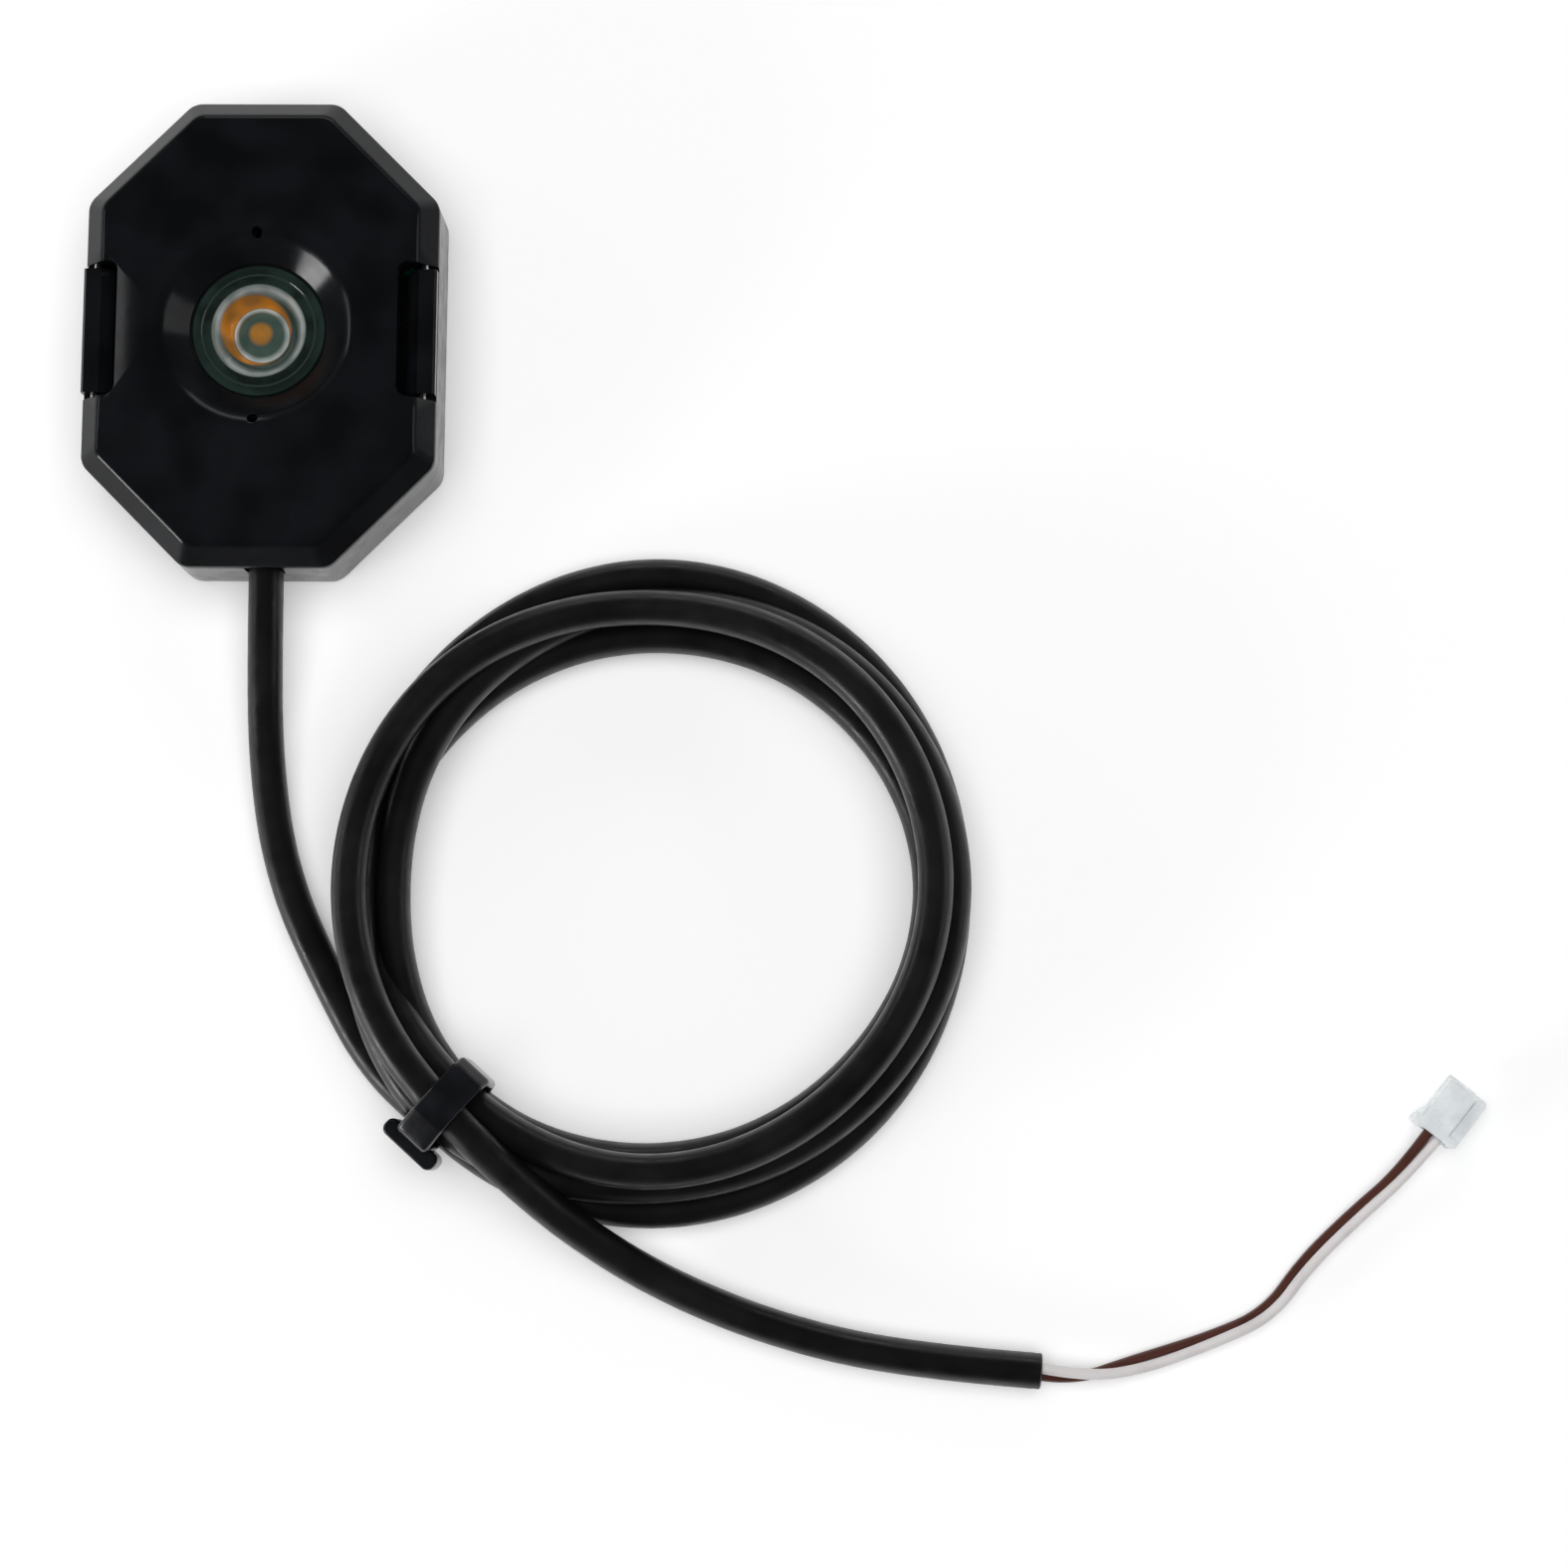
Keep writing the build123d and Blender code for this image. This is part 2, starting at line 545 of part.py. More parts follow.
def make_screws(places, head_bottom, label):
    """Pan-head screws down into the case posts, with a slot across each head."""
    with BuildPart() as screws:
        with BuildSketch(Plane.XY.offset(head_bottom)):
            with Locations(*places):
                Circle(SCREW_HEAD_RADIUS)
        extrude(amount=SCREW_HEAD_HEIGHT)
        with BuildSketch(Plane.XY.offset(board_bottom - SCREW_BITE)):
            with Locations(*places):
                Circle(SCREW_RADIUS)
        extrude(amount=head_bottom - board_bottom + SCREW_BITE)
        with BuildSketch(Plane.XY.offset(head_bottom + SCREW_HEAD_HEIGHT)):
            with Locations(*places):
                Rectangle(2 * SCREW_HEAD_RADIUS, SCREW_HEAD_HEIGHT / 2)
        extrude(amount=-SCREW_HEAD_HEIGHT / 3, mode=Mode.SUBTRACT)
    save(screws, label)


make_screws(post_places, board_top, "board_screws")
make_screws(clamp_places, board_top + CLAMP_FOOT, "clamp_screws")

# --- Cable grommet and clamp ---
grommet_start = HEAD_LENGTH / 2 - CASE_WALL - GROMMET_LENGTH
with BuildPart() as cable_grommet:
    with BuildSketch(cord_axis.offset(grommet_start)):
        low = board_top + GROMMET_FOOT_GAP - cord_height
        with Locations((0, (low + grommet_top - cord_height) / 2)):
            Rectangle(GROMMET_WIDTH, grommet_top - cord_height - low)
        Circle(CORD_DIAMETER / 2 + PRESS_CLEARANCE, mode=Mode.SUBTRACT)
    extrude(amount=GROMMET_LENGTH)
save(cable_grommet, "cable_grommet")

clamp_radius = CORD_DIAMETER / 2 + CLAMP_WALL
with BuildPart() as cable_clamp:
    with BuildSketch(cord_axis.offset(-clamp_y - CLAMP_LENGTH / 2)):
        Circle(clamp_radius)
        with Locations((0, (board_top - cord_height) / 2)):
            Rectangle(2 * clamp_radius, cord_height - board_top)
        with Locations((0, board_top - cord_height + CLAMP_FOOT / 2)):
            Rectangle(2 * (CLAMP_SCREW_OFFSET + SCREW_HEAD_RADIUS), CLAMP_FOOT)
        with Locations((0, board_top - cord_height - clamp_radius)):
            Rectangle(4 * clamp_radius, 2 * clamp_radius, mode=Mode.SUBTRACT)
        Circle(CORD_DIAMETER / 2 + PRESS_CLEARANCE, mode=Mode.SUBTRACT)
    extrude(amount=CLAMP_LENGTH)
    with BuildSketch(Plane.XY.offset(board_top)):
        with Locations(*clamp_places):
            Circle(SCREW_RADIUS + HOLE_CLEARANCE)
    extrude(amount=CLAMP_FOOT, mode=Mode.SUBTRACT)
    with BuildSketch(Plane.XY.offset(board_top + CLAMP_FOOT)):
        with Locations(*clamp_places):
            Circle(SCREW_HEAD_RADIUS + HOLE_CLEARANCE / 2)
    extrude(amount=SCREW_HEAD_HEIGHT, mode=Mode.SUBTRACT)
save(cable_clamp, "cable_clamp")

# --- Cores inside the case, from the jacket's end to the solder joints ---
lead_height = board_top + core_radius + GROMMET_FOOT_GAP
for side, word in ((-1, "white"), (1, "brown")):
    start_x = CORD_X + side * (core_radius + 0.1)
    pad_x = side * SOLDER_SPACING / 2
    make_tube([(start_x, cord_inner_end, cord_height),
               (start_x + side * 0.2, cord_inner_end + 1.6, cord_height - 0.4),
               (pad_x - side * 0.2, solder_y - 2.4, lead_height + 0.1),
               (pad_x, solder_y - SOLDER_SIZE[1] / 2, lead_height)], CORE_DIAMETER, f"inner_lead_{word}")

# --- Jacket: lead, coil and tail ---
make_tube(LEAD_ROUTE, CORD_DIAMETER, "cable_lead")
make_tube(TAIL_ROUTE, CORD_DIAMETER, "cable_tail")

radial = Vector(cos(radians(TIE_ANGLE)), sin(radians(TIE_ANGLE)), 0)
along = Vector(radial.Y, -radial.X, 0)
mid_radius = (COIL_INNER_RADIUS + COIL_OUTER_RADIUS) / 2
tie_height = TIE_BUNDLE[1] / 2 + TIE_THICKNESS
tie_origin = Vector(*COIL_CENTRE, tie_height) + radial * mid_radius
tie_plane = Plane(origin=tie_origin - along * (TIE_WIDTH / 2), x_dir=radial, z_dir=along)

with BuildPart() as tie_zone:
    with BuildSketch(tie_plane.offset(-TIE_CLEARANCE)) as zone:
        Rectangle(4 * TIE_BUNDLE[0], 4 * TIE_BUNDLE[1])
        Rectangle(TIE_BUNDLE[0] - 2 * TIE_CLEARANCE, TIE_BUNDLE[1] - 2 * TIE_CLEARANCE, mode=Mode.SUBTRACT)
    extrude(amount=TIE_WIDTH + 2 * TIE_CLEARANCE)

with BuildPart() as cable_coil:
    with BuildSketch(Plane(origin=(*COIL_CENTRE, 0), x_dir=(1, 0, 0), z_dir=(0, -1, 0))) as ring:
        with Locations((mid_radius, COIL_HEIGHT / 2)):
            RectangleRounded(COIL_OUTER_RADIUS - COIL_INNER_RADIUS, COIL_HEIGHT, COIL_ROUND)
    revolve(axis=Axis((*COIL_CENTRE, 0), (0, 0, 1)))
    add(tie_zone.part, mode=Mode.SUBTRACT)
save(cable_coil, "cable_coil")

with BuildPart() as cable_tie:
    with BuildSketch(tie_plane):
        RectangleRounded(TIE_BUNDLE[0] + 2 * TIE_THICKNESS, TIE_BUNDLE[1] + 2 * TIE_THICKNESS, TIE_THICKNESS * 1.4)
        Rectangle(*TIE_BUNDLE, mode=Mode.SUBTRACT)
    extrude(amount=TIE_WIDTH)
    head_x = TIE_BUNDLE[0] / 2 + TIE_THICKNESS + TIE_HEAD[0] / 2 - TIE_HEAD_SINK
    with BuildSketch(tie_plane.offset((TIE_WIDTH - TIE_HEAD[1]) / 2)):
        with Locations((head_x, TIE_HEAD_RISE - TIE_HEAD[2] / 2)):
            Rectangle(TIE_HEAD[0], TIE_HEAD[2])
    extrude(amount=TIE_HEAD[1])
save(cable_tie, "cable_tie")

# --- Connector: flanged housing with two cavities and their contacts ---
turn = radians(CONNECTOR_ANGLE)
forward = Vector(cos(turn), sin(turn), 0)
across = Vector(-sin(turn), cos(turn), 0)
cable_face = Vector(*CONNECTOR_CENTRE, CONNECTOR_SIZE[2] / 2) - forward * (CONNECTOR_SIZE[0] / 2)
face_plane = Plane(origin=cable_face, x_dir=across, z_dir=forward)
cavity_places = [(side * CONTACT_PITCH / 2, 0) for side in (-1, 1)]

with BuildPart() as connector_housing:
    with BuildSketch(face_plane):
        Rectangle(CONNECTOR_SIZE[1], CONNECTOR_SIZE[2])
    extrude(amount=CONNECTOR_SIZE[0])
    with BuildSketch(face_plane):
        Rectangle(CONNECTOR_FLANGE[1], CONNECTOR_SIZE[2])
    extrude(amount=CONNECTOR_FLANGE[0])
    with BuildSketch(face_plane):
        with Locations(*cavity_places):
            Rectangle(CONTACT_CAVITY, CONTACT_CAVITY)
    extrude(amount=CONNECTOR_SIZE[0], mode=Mode.SUBTRACT)
save(connector_housing, "connector_housing")

with BuildPart() as connector_terminals:
    with BuildSketch(face_plane.offset(CORE_INSERTION)):
        with Locations(*cavity_places):
            Rectangle(CONTACT_SIZE, CONTACT_SIZE)
    extrude(amount=CONTACT_LENGTH)
save(connector_terminals, "connector_terminals")

# --- Free cores: white rides on brown, and both run into the connector ---
jacket_end = Vector(*TAIL_ROUTE[-1])


def core_end(side):
    """Last two points of a core: before the cavity, and at its contact."""
    mouth = cable_face + across * (side * CONTACT_PITCH / 2)
    before = mouth - forward * CORE_APPROACH
    inside = mouth + forward * CORE_INSERTION
    return [tuple(before), tuple(inside)]


WHITE_ROUTE = [
    (jacket_end.X, jacket_end.Y + CORE_STAGGER, CORE_LEVELS[0]),
    (93.8, -116.0, 2.3),
    (100.4, -114.9, 1.62),
    (107.5, -112.2, 1.6),
    (114.2, -109.2, 1.6),
    (118.3, -103.6, 1.6),
    (123.9, -98.2, 1.7),
]
BROWN_ROUTE = [
    (jacket_end.X, jacket_end.Y - CORE_STAGGER, CORE_LEVELS[1]),
    (92.0, -116.5, 0.65),
    (98.6, -114.2, 0.65),
    (107.2, -111.5, 0.65),
    (113.6, -108.7, 0.65),
    (117.6, -103.1, 0.65),
    (122.9, -97.9, 0.8),
]
make_tube(WHITE_ROUTE + core_end(-1), CORE_DIAMETER, "core_white")
make_tube(BROWN_ROUTE + core_end(1), CORE_DIAMETER, "core_brown")
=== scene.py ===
from math import cos, pi, radians, sin, tan

import bmesh
import bpy
from mathutils import Matrix, Vector


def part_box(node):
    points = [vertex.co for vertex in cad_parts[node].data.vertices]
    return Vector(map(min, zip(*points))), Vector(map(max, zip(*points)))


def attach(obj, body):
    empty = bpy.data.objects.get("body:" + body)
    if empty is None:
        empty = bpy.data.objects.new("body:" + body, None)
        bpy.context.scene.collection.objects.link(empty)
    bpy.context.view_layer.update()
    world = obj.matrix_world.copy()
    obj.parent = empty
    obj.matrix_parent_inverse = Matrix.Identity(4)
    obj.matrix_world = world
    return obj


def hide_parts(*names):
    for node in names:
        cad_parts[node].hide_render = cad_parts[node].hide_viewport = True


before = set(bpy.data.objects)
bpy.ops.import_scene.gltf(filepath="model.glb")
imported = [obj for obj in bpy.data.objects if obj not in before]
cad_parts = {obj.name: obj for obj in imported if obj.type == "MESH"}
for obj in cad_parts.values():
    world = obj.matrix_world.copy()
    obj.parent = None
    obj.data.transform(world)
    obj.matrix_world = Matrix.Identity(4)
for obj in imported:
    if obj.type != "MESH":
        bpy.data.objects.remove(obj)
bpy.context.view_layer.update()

bl_info = {
    "name": "Optical head with coiled lead",
    "version": (1, 0, 0),
    "blender": (4, 5, 0),
    "location": "View3D > Sidebar > Optical head",
    "description": "Builds the finished look of a small optical head, its coiled lead and its connector",
    "category": "Object",
}

MM = 0.001
HOUSING = "housing"

# Where the CAD pieces stand, in millimetres
COVER_LOW, COVER_HIGH = (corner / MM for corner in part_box("front_cover"))
LENS_LOW, LENS_HIGH = (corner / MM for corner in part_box("collimator_lens"))
DOME_LOW, DOME_HIGH = (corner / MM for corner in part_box("emitter_dome"))
INSERT_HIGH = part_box("mount_inserts")[1] / MM
LATCH_LOW, LATCH_HIGH = (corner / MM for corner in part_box("latch_right"))

# Cover shell
CORNER_CUT = 11.7
CORNER_RADIUS = 2.4
SKIRT_HEIGHT = 0.4
BEVEL_HEIGHT = 2.5
BEVEL_WIDTH = 2.2
RECESS_RADIUS = 11.3
RECESS_ROUND = 1.2
LENS_OPENING = LENS_HIGH.x + 0.2
LIP_HALF = 0.15
LIP_RADIUS = LENS_OPENING + 1.4
WALL = 1.6
WALL_FALL = 1.54
NOTCH_DEPTH = LATCH_HIGH.x - LATCH_LOW.x + 0.9
NOTCH_LENGTH = LATCH_HIGH.y - LATCH_LOW.y + 1.2
NOTCH_ROUND = 1.2
PIN_HOLE_RADIUS = 0.6
PIN_HOLE_Y = 10.65
LOOP_POINTS = 176

# Routes of the cord and its cores, in millimetres
LEAD_ROUTE = [(0.8, -17.5, 6.4), (0.8, -33.0, 6.4), (0.6, -48.5, 2.2), (3.0, -61.5, 2.05), (8.6, -73.2, 2.05)]
LEAD_JOIN = (13.6, -81.9, 2.3)
TAIL_JOIN = (26.3, -91.0, 10.3)
TAIL_ROUTE = [(29.5, -94.0, 9.2), (36.5, -100.0, 5.6), (46.5, -106.2, 2.6), (59.5, -111.3, 2.05),
              (73.7, -114.3, 2.05), (87.7, -115.3, 2.05)]
WHITE_ROUTE = [(87.7, -114.85, 2.75), (93.8, -116.0, 2.3), (100.4, -114.9, 1.62), (107.5, -112.2, 1.6),
               (114.2, -109.2, 1.6), (118.3, -103.6, 1.6), (123.9, -98.2, 1.7)]
BROWN_ROUTE = [(87.7, -115.75, 1.35), (92.0, -116.5, 0.65), (98.6, -114.2, 0.65), (107.2, -111.5, 0.65),
               (113.6, -108.7, 0.65), (117.6, -103.1, 0.65), (122.9, -97.9, 0.8)]

# The four turns of the coil: radius and height of the jacket's middle at nine stations round each turn,
# from the tie back to the tie
COIL_CENTRE = (44.5, -62.4)
COIL_STATIONS = [226, 270, 315, 360, 405, 450, 495, 540, 586]
COIL_STEP = 15
COIL_TURNS = [
    ([35.3, 36.0, 35.4, 34.4, 35.6, 36.5, 34.6, 32.7, 34.9], [3.1, 2.05, 2.05, 2.05, 2.05, 2.05, 2.4, 5.9, 7.0]),
    ([34.9, 33.2, 33.6, 34.4, 34.0, 33.0, 30.6, 28.9, 30.9], [7.0, 5.0, 5.4, 6.0, 5.2, 2.6, 5.9, 4.9, 3.1]),
    ([30.9, 30.4, 30.6, 31.9, 30.6, 29.5, 30.0, 31.8, 31.0], [3.1, 2.05, 2.6, 4.0, 2.8, 2.05, 2.05, 2.05, 7.0]),
    ([31.0, 31.7, 31.5, 32.3, 32.5, 32.0, 33.2, 33.3, 33.2], [7.0, 8.7, 8.9, 9.4, 8.8, 6.4, 8.6, 9.6, 10.4]),
]

# Tie and connector
TIE_ANGLE = radians(228)
TIE_REACH = 32.55
TIE_PLACE = Vector((COIL_CENTRE[0] + TIE_REACH * cos(TIE_ANGLE), COIL_CENTRE[1] + TIE_REACH * sin(TIE_ANGLE), 0))
BAND_THICKNESS = 1.0
BAND_HALF = 2.1
PLUG_ANGLE = radians(52)
PLUG_PLACE = (134.3, -86.3)
PLUG_HALF = 3.5
CORE_HEIGHT = 2.1
CORE_SPREAD = 0.72
CAVITY_PLACE = 0.85
CAVITY_HALF = 0.8

# Least height of the jacket's middle above the floor
LEAST_HEIGHT = 2.03

# Camera, in millimetres and degrees
CAMERA_PLACE = (67.07, -96.09, 390.16)
CAMERA_TURN = (6.77, 1.12, 0.5)
CAMERA_LENS = 79.28
CAMERA_SENSOR = 36


# ---------------------------------------------------------------- colours, nodes and finishes
def linear(code):
    """Linear colour of an sRGB hex code."""
    channels = [int(code[i:i + 2], 16) / 255 for i in (1, 3, 5)]
    return [c / 12.92 if c <= 0.04045 else ((c + 0.055) / 1.055) ** 2.4 for c in channels] + [1.0]


def node(tree, kind, inputs=None, **settings):
    """Add a node, set its settings, and fill its sockets with values or with other nodes' sockets."""
    made = tree.nodes.new(kind)
    for key, value in settings.items():
        setattr(made, key, value)
    for key, value in (inputs or {}).items():
        if isinstance(value, bpy.types.NodeSocket):
            tree.links.new(value, made.inputs[key])
        else:
            made.inputs[key].default_value = value
    return made


def finish(name, colour, roughness, **inputs):
    """Start a material on one Principled shader."""
    material = bpy.data.materials.new(name)
    material.use_nodes = True
    tree = material.node_tree
    tree.nodes.clear()
    values = {key.replace("_", " "): value for key, value in inputs.items()}
    values.update({"Base Color": linear(colour), "Roughness": roughness})
    shader = node(tree, "ShaderNodeBsdfPrincipled", values)
    node(tree, "ShaderNodeOutputMaterial", {"Surface": shader.outputs[0]})
    place = node(tree, "ShaderNodeTexCoord").outputs["Object"]
    return material, tree, shader, place


def noise(tree, place, size, detail=2.0, stretch=None):
    """Noise whose spots are about size millimetres across, or stretched by three factors."""
    if stretch:
        place = node(tree, "ShaderNodeMapping", {"Vector": place, "Scale": stretch}).outputs[0]
    made = node(tree, "ShaderNodeTexNoise", {"Vector": place, "Scale": 1 / (size * MM), "Detail": detail})
    return made.outputs[0]


def spread(tree, value, low, high, start=0.35, end=0.65):
    """Carry a pattern's middle range to the range low to high."""
    return node(tree, "ShaderNodeMapRange", {"Value": value, "From Min": start, "From Max": end,
                                             "To Min": low, "To Max": high}).outputs[0]


def tint(tree, shader, value, light, dark):
    """Vary a finish between two colours with a pattern."""
    mixed = node(tree, "ShaderNodeMix", {0: value, 6: linear(light), 7: linear(dark)}, data_type="RGBA")
    tree.links.new(mixed.outputs[2], shader.inputs["Base Color"])


def distance_from(tree, place, centre):
    """Distance in plan from a point given in millimetres."""
    offset = node(tree, "ShaderNodeVectorMath", {0: place, 1: (centre[0] * MM, centre[1] * MM, 0)},
                  operation="SUBTRACT").outputs[0]
    flat = node(tree, "ShaderNodeVectorMath", {0: offset, 1: (1, 1, 0)}, operation="MULTIPLY").outputs[0]
    return node(tree, "ShaderNodeVectorMath", {0: flat}, operation="LENGTH").outputs[1]


def bands(tree, radius, stops):
    """Rings of colour that blend into one another, each stop a radius in millimetres and a colour."""
    widest = stops[-1][0]
    share = node(tree, "ShaderNodeMath", {0: radius, 1: widest * MM}, operation="DIVIDE").outputs[0]
    ramp = node(tree, "ShaderNodeValToRGB", {0: share})
    steps = ramp.color_ramp.elements
    while len(steps) > 1:
        steps.remove(steps[-1])
    steps[0].position, steps[0].color = 0, linear(stops[0][1])
    for reach, colour in stops[1:]:
        steps.new(reach / widest).color = linear(colour)
    return ramp.outputs[0]


def relief(tree, shader, height, depth, strength=1.0, below=None):
    """Raise or sink a surface by depth millimetres with a pattern."""
    inputs = {"Height": height, "Distance": depth * MM, "Strength": strength}
    if below is not None:
        inputs["Normal"] = below
    bump = node(tree, "ShaderNodeBump", inputs).outputs[0]
    tree.links.new(bump, shader.inputs["Normal"])
    return bump


def moulded_plastic(name, colour, dark, roughness, grain=0.35, depth=0.004, swell=6.0, **inputs):
    """Injection-moulded plastic: a fine tool texture over slow sink waves, with uneven gloss."""
    material, tree, shader, place = finish(name, colour, roughness, **inputs)
    fine = noise(tree, place, grain, 3.0)
    slow = noise(tree, place, swell, 1.0)
    tint(tree, shader, spread(tree, slow, 0.0, 1.0), colour, dark)
    gloss = spread(tree, noise(tree, place, grain * 6, 4.0), roughness * 0.85, roughness * 1.25)
    tree.links.new(gloss, shader.inputs["Roughness"])
    first = relief(tree, shader, slow, 0.02, 0.5)
    relief(tree, shader, fine, depth, 1.0, first)
    return material


def drawn_metal(name, colour, roughness, size=0.25, stretch=(1, 8, 1)):
    """Metal with fine lines from drawing, rolling or turning, and hollows between them."""
    material, tree, shader, place = finish(name, colour, roughness, Metallic=1.0)
    lines = noise(tree, place, size, 4.0, stretch)
    tree.links.new(spread(tree, lines, roughness * 0.7, roughness * 1.4), shader.inputs["Roughness"])
    relief(tree, shader, lines, 0.004, 0.8)
    return material


def make_materials():
    """All finishes of the object, by slot."""
    head = bpy.context.scene.optical_head
    cord = bpy.context.scene.lead_set
    made = {}
    # Gloss-moulded ABS, black: mirror-like at a low angle, with a faint orange-peel in its highlights
    made["cover_shell"] = moulded_plastic("gloss_moulded_abs_cover", head.cover_colour, "#0c0d0f", head.cover_gloss,
                                          0.5, 0.003, IOR=1.54, Specular_IOR_Level=0.22)
    # The same ABS on the case, a little duller
    made["case_shell"] = moulded_plastic("gloss_moulded_abs_case", head.cover_colour, "#0d0e10",
                                         head.cover_gloss + 0.06, 0.4, 0.004, IOR=1.54)
    # Gloss-moulded acetal of the latches, with soft edges
    made["latch_plastic"] = moulded_plastic("gloss_moulded_acetal", "#121417", "#0b0c0e", 0.2, 0.4, 0.003, IOR=1.48)
    # Moulded glass-filled nylon of the lens holder: matt, with fine flecks
    made["holder_plastic"] = moulded_plastic("matt_glass_filled_nylon", "#1b1c1e", "#101112", 0.55, 0.25, 0.01,
                                             IOR=1.53)
    # Silicone rubber of the seals: matt and slightly dusty
    made["seal_rubber"] = moulded_plastic("matt_silicone_rubber", "#1a1a1b", "#232324", 0.7, 0.3, 0.012, IOR=1.41)
    # Extruded soft PVC jacket: satin, with slow swellings along it and a few small pimples
    jacket, tree, shader, place = finish("extruded_pvc_jacket", cord.jacket_colour, 0.36, IOR=1.53,
                                         Specular_IOR_Level=0.45)
    tint(tree, shader, spread(tree, noise(tree, place, 9.0, 2.0), 0.0, 1.0), cord.jacket_colour, "#0e0e0e")
    tree.links.new(spread(tree, noise(tree, place, 2.2, 3.0), 0.3, 0.44), shader.inputs["Roughness"])
    pimple = node(tree, "ShaderNodeTexVoronoi", {"Vector": place, "Scale": 1 / (3.4 * MM)}).outputs["Distance"]
    bumps = relief(tree, shader, noise(tree, place, 3.5, 2.0), 0.09, 0.8)
    bumps = relief(tree, shader, spread(tree, pimple, 1.0, 0.0, 0.0, 0.11), 0.035, 0.6, bumps)
    relief(tree, shader, noise(tree, place, 0.4, 3.0), 0.006, 0.8, bumps)
    made["jacket_pvc"] = jacket
    # Extruded PVC on the cores: smooth, softly glossy, faintly dirty in places
    for slot, colour, dark in (("core_white_pvc", cord.white_colour, "#d2cdce"),
                               ("core_brown_pvc", cord.brown_colour, "#3a1c16")):
        core, tree, shader, place = finish("extruded_" + slot, colour, 0.35, IOR=1.53, Subsurface_Weight=0.15,
                                           Subsurface_Scale=0.4 * MM)
        tint(tree, shader, spread(tree, noise(tree, place, 4.0, 4.0), 0.0, 1.0, 0.5, 0.75), colour, dark)
        tree.links.new(spread(tree, noise(tree, place, 1.2, 3.0), 0.28, 0.45), shader.inputs["Roughness"])
        relief(tree, shader, noise(tree, place, 1.0, 2.0), 0.02, 0.6)
        made[slot] = core
    # Moulded nylon of the tie: wet-looking gloss with a slight flow ripple
    made["tie_nylon"] = moulded_plastic("gloss_moulded_nylon_tie", "#191a1e", "#101114", 0.2, 0.6, 0.006, 3.0,
                                        IOR=1.53)
    # Natural nylon of the connector: milky, with light passing into its edges
    nylon, tree, shader, place = finish("milky_moulded_nylon", "#e4e9ea", 0.32, IOR=1.53, Subsurface_Weight=0.3,
                                        Subsurface_Scale=1.2 * MM, Subsurface_Radius=(1.0, 0.95, 0.9))
    tint(tree, shader, spread(tree, noise(tree, place, 2.5, 3.0), 0.0, 1.0), "#eef4f5", "#dfe4e7")
    tree.links.new(spread(tree, noise(tree, place, 0.9, 3.0), 0.24, 0.42), shader.inputs["Roughness"])
    relief(tree, shader, noise(tree, place, 0.5, 3.0), 0.01, 0.7)
    made["connector_nylon"] = nylon
    # Polished acrylic, mostly closed: painted rings stand for what its refraction and reflection would show, a dark
    # green flange, a grey-green core, painted silver highlights on the well wall and the core's rim, and an amber
    # crescent off centre painted where the emitter's colour would shine through; they are fixed to the lens
    lens, tree, shader, place = finish("polished_clear_acrylic", "#eef7f3", 0.06, IOR=1.49,
                                       Transmission_Weight=0.2, Coat_Weight=0.5, Coat_Roughness=0.03)
    radius = distance_from(tree, place, (0, 0))
    # painted reflection: the pale silver bands at 2.85 to 3.05 mm and 4.5 to 5.2 mm are painted highlights, the
    # other rings painted refraction
    painted_view = bands(tree, radius, ((0.0, "#d9902f"), (1.0, "#c98a38"), (1.5, "#4c6159"), (2.5, "#54685f"),
                                (2.85, "#c3cbc8"), (3.05, "#e6eae8"), (3.2, "#39463f"), (4.1, "#46534d"),
                                (4.5, "#8d9794"), (4.9, "#d3d8d6"), (5.2, "#a3acaa"), (5.4, "#1a2522"),
                                (6.25, "#161f1d"), (6.4, "#43524d"), (6.55, "#18211f"), (7.5, "#202e29")))
    # painted light: an amber crescent painted off centre where the emitter's glow would be seen through the lens
    inside = spread(tree, distance_from(tree, place, (-0.6, 0.5)), 1.0, 0.0, 3.75 * MM, 4.05 * MM)
    outside = spread(tree, radius, 0.0, 1.0, 3.1 * MM, 3.3 * MM)
    crescent = node(tree, "ShaderNodeMath", {0: inside, 1: outside}, operation="MULTIPLY").outputs[0]
    amber = node(tree, "ShaderNodeMix", {0: crescent, 6: painted_view, 7: linear("#d98a2b")}, data_type="RGBA")
    # painted shade: noise darkens the painted rings in patches towards dark green
    painted_shade_patches = spread(tree, noise(tree, place, 3.0, 1.0), 0.0, 0.45, 0.4, 0.62)
    shaded = node(tree, "ShaderNodeMix", {0: painted_shade_patches, 6: amber.outputs[2], 7: linear("#31443d")}, data_type="RGBA")
    tree.links.new(shaded.outputs[2], shader.inputs["Base Color"])
    rings = node(tree, "ShaderNodeMath", {0: radius, 1: 2 * pi / (0.35 * MM)}, operation="MULTIPLY").outputs[0]
    rings = node(tree, "ShaderNodeMath", {0: rings}, operation="SINE").outputs[0]
    relief(tree, shader, rings, 0.0005, 0.4)
    made["lens_acrylic"] = lens
    # Cast clear silicone over the emitter: soft-edged reflections
    dome, tree, shader, place = finish("cast_clear_silicone", "#fbfaf2", 0.05, IOR=1.41, Transmission_Weight=1.0)
    relief(tree, shader, noise(tree, place, 0.8, 2.0), 0.003, 0.5)
    made["dome_silicone"] = dome
    # Phosphor powder set in silicone: warm amber, grainy
    phosphor, tree, shader, place = finish("amber_phosphor_layer", "#f0a428", 0.6, IOR=1.41)
    tint(tree, shader, spread(tree, noise(tree, place, 0.12, 4.0), 0.0, 1.0), "#f4ae30", "#c9730c")
    relief(tree, shader, noise(tree, place, 0.1, 3.0), 0.01, 0.8)
    made["phosphor"] = phosphor
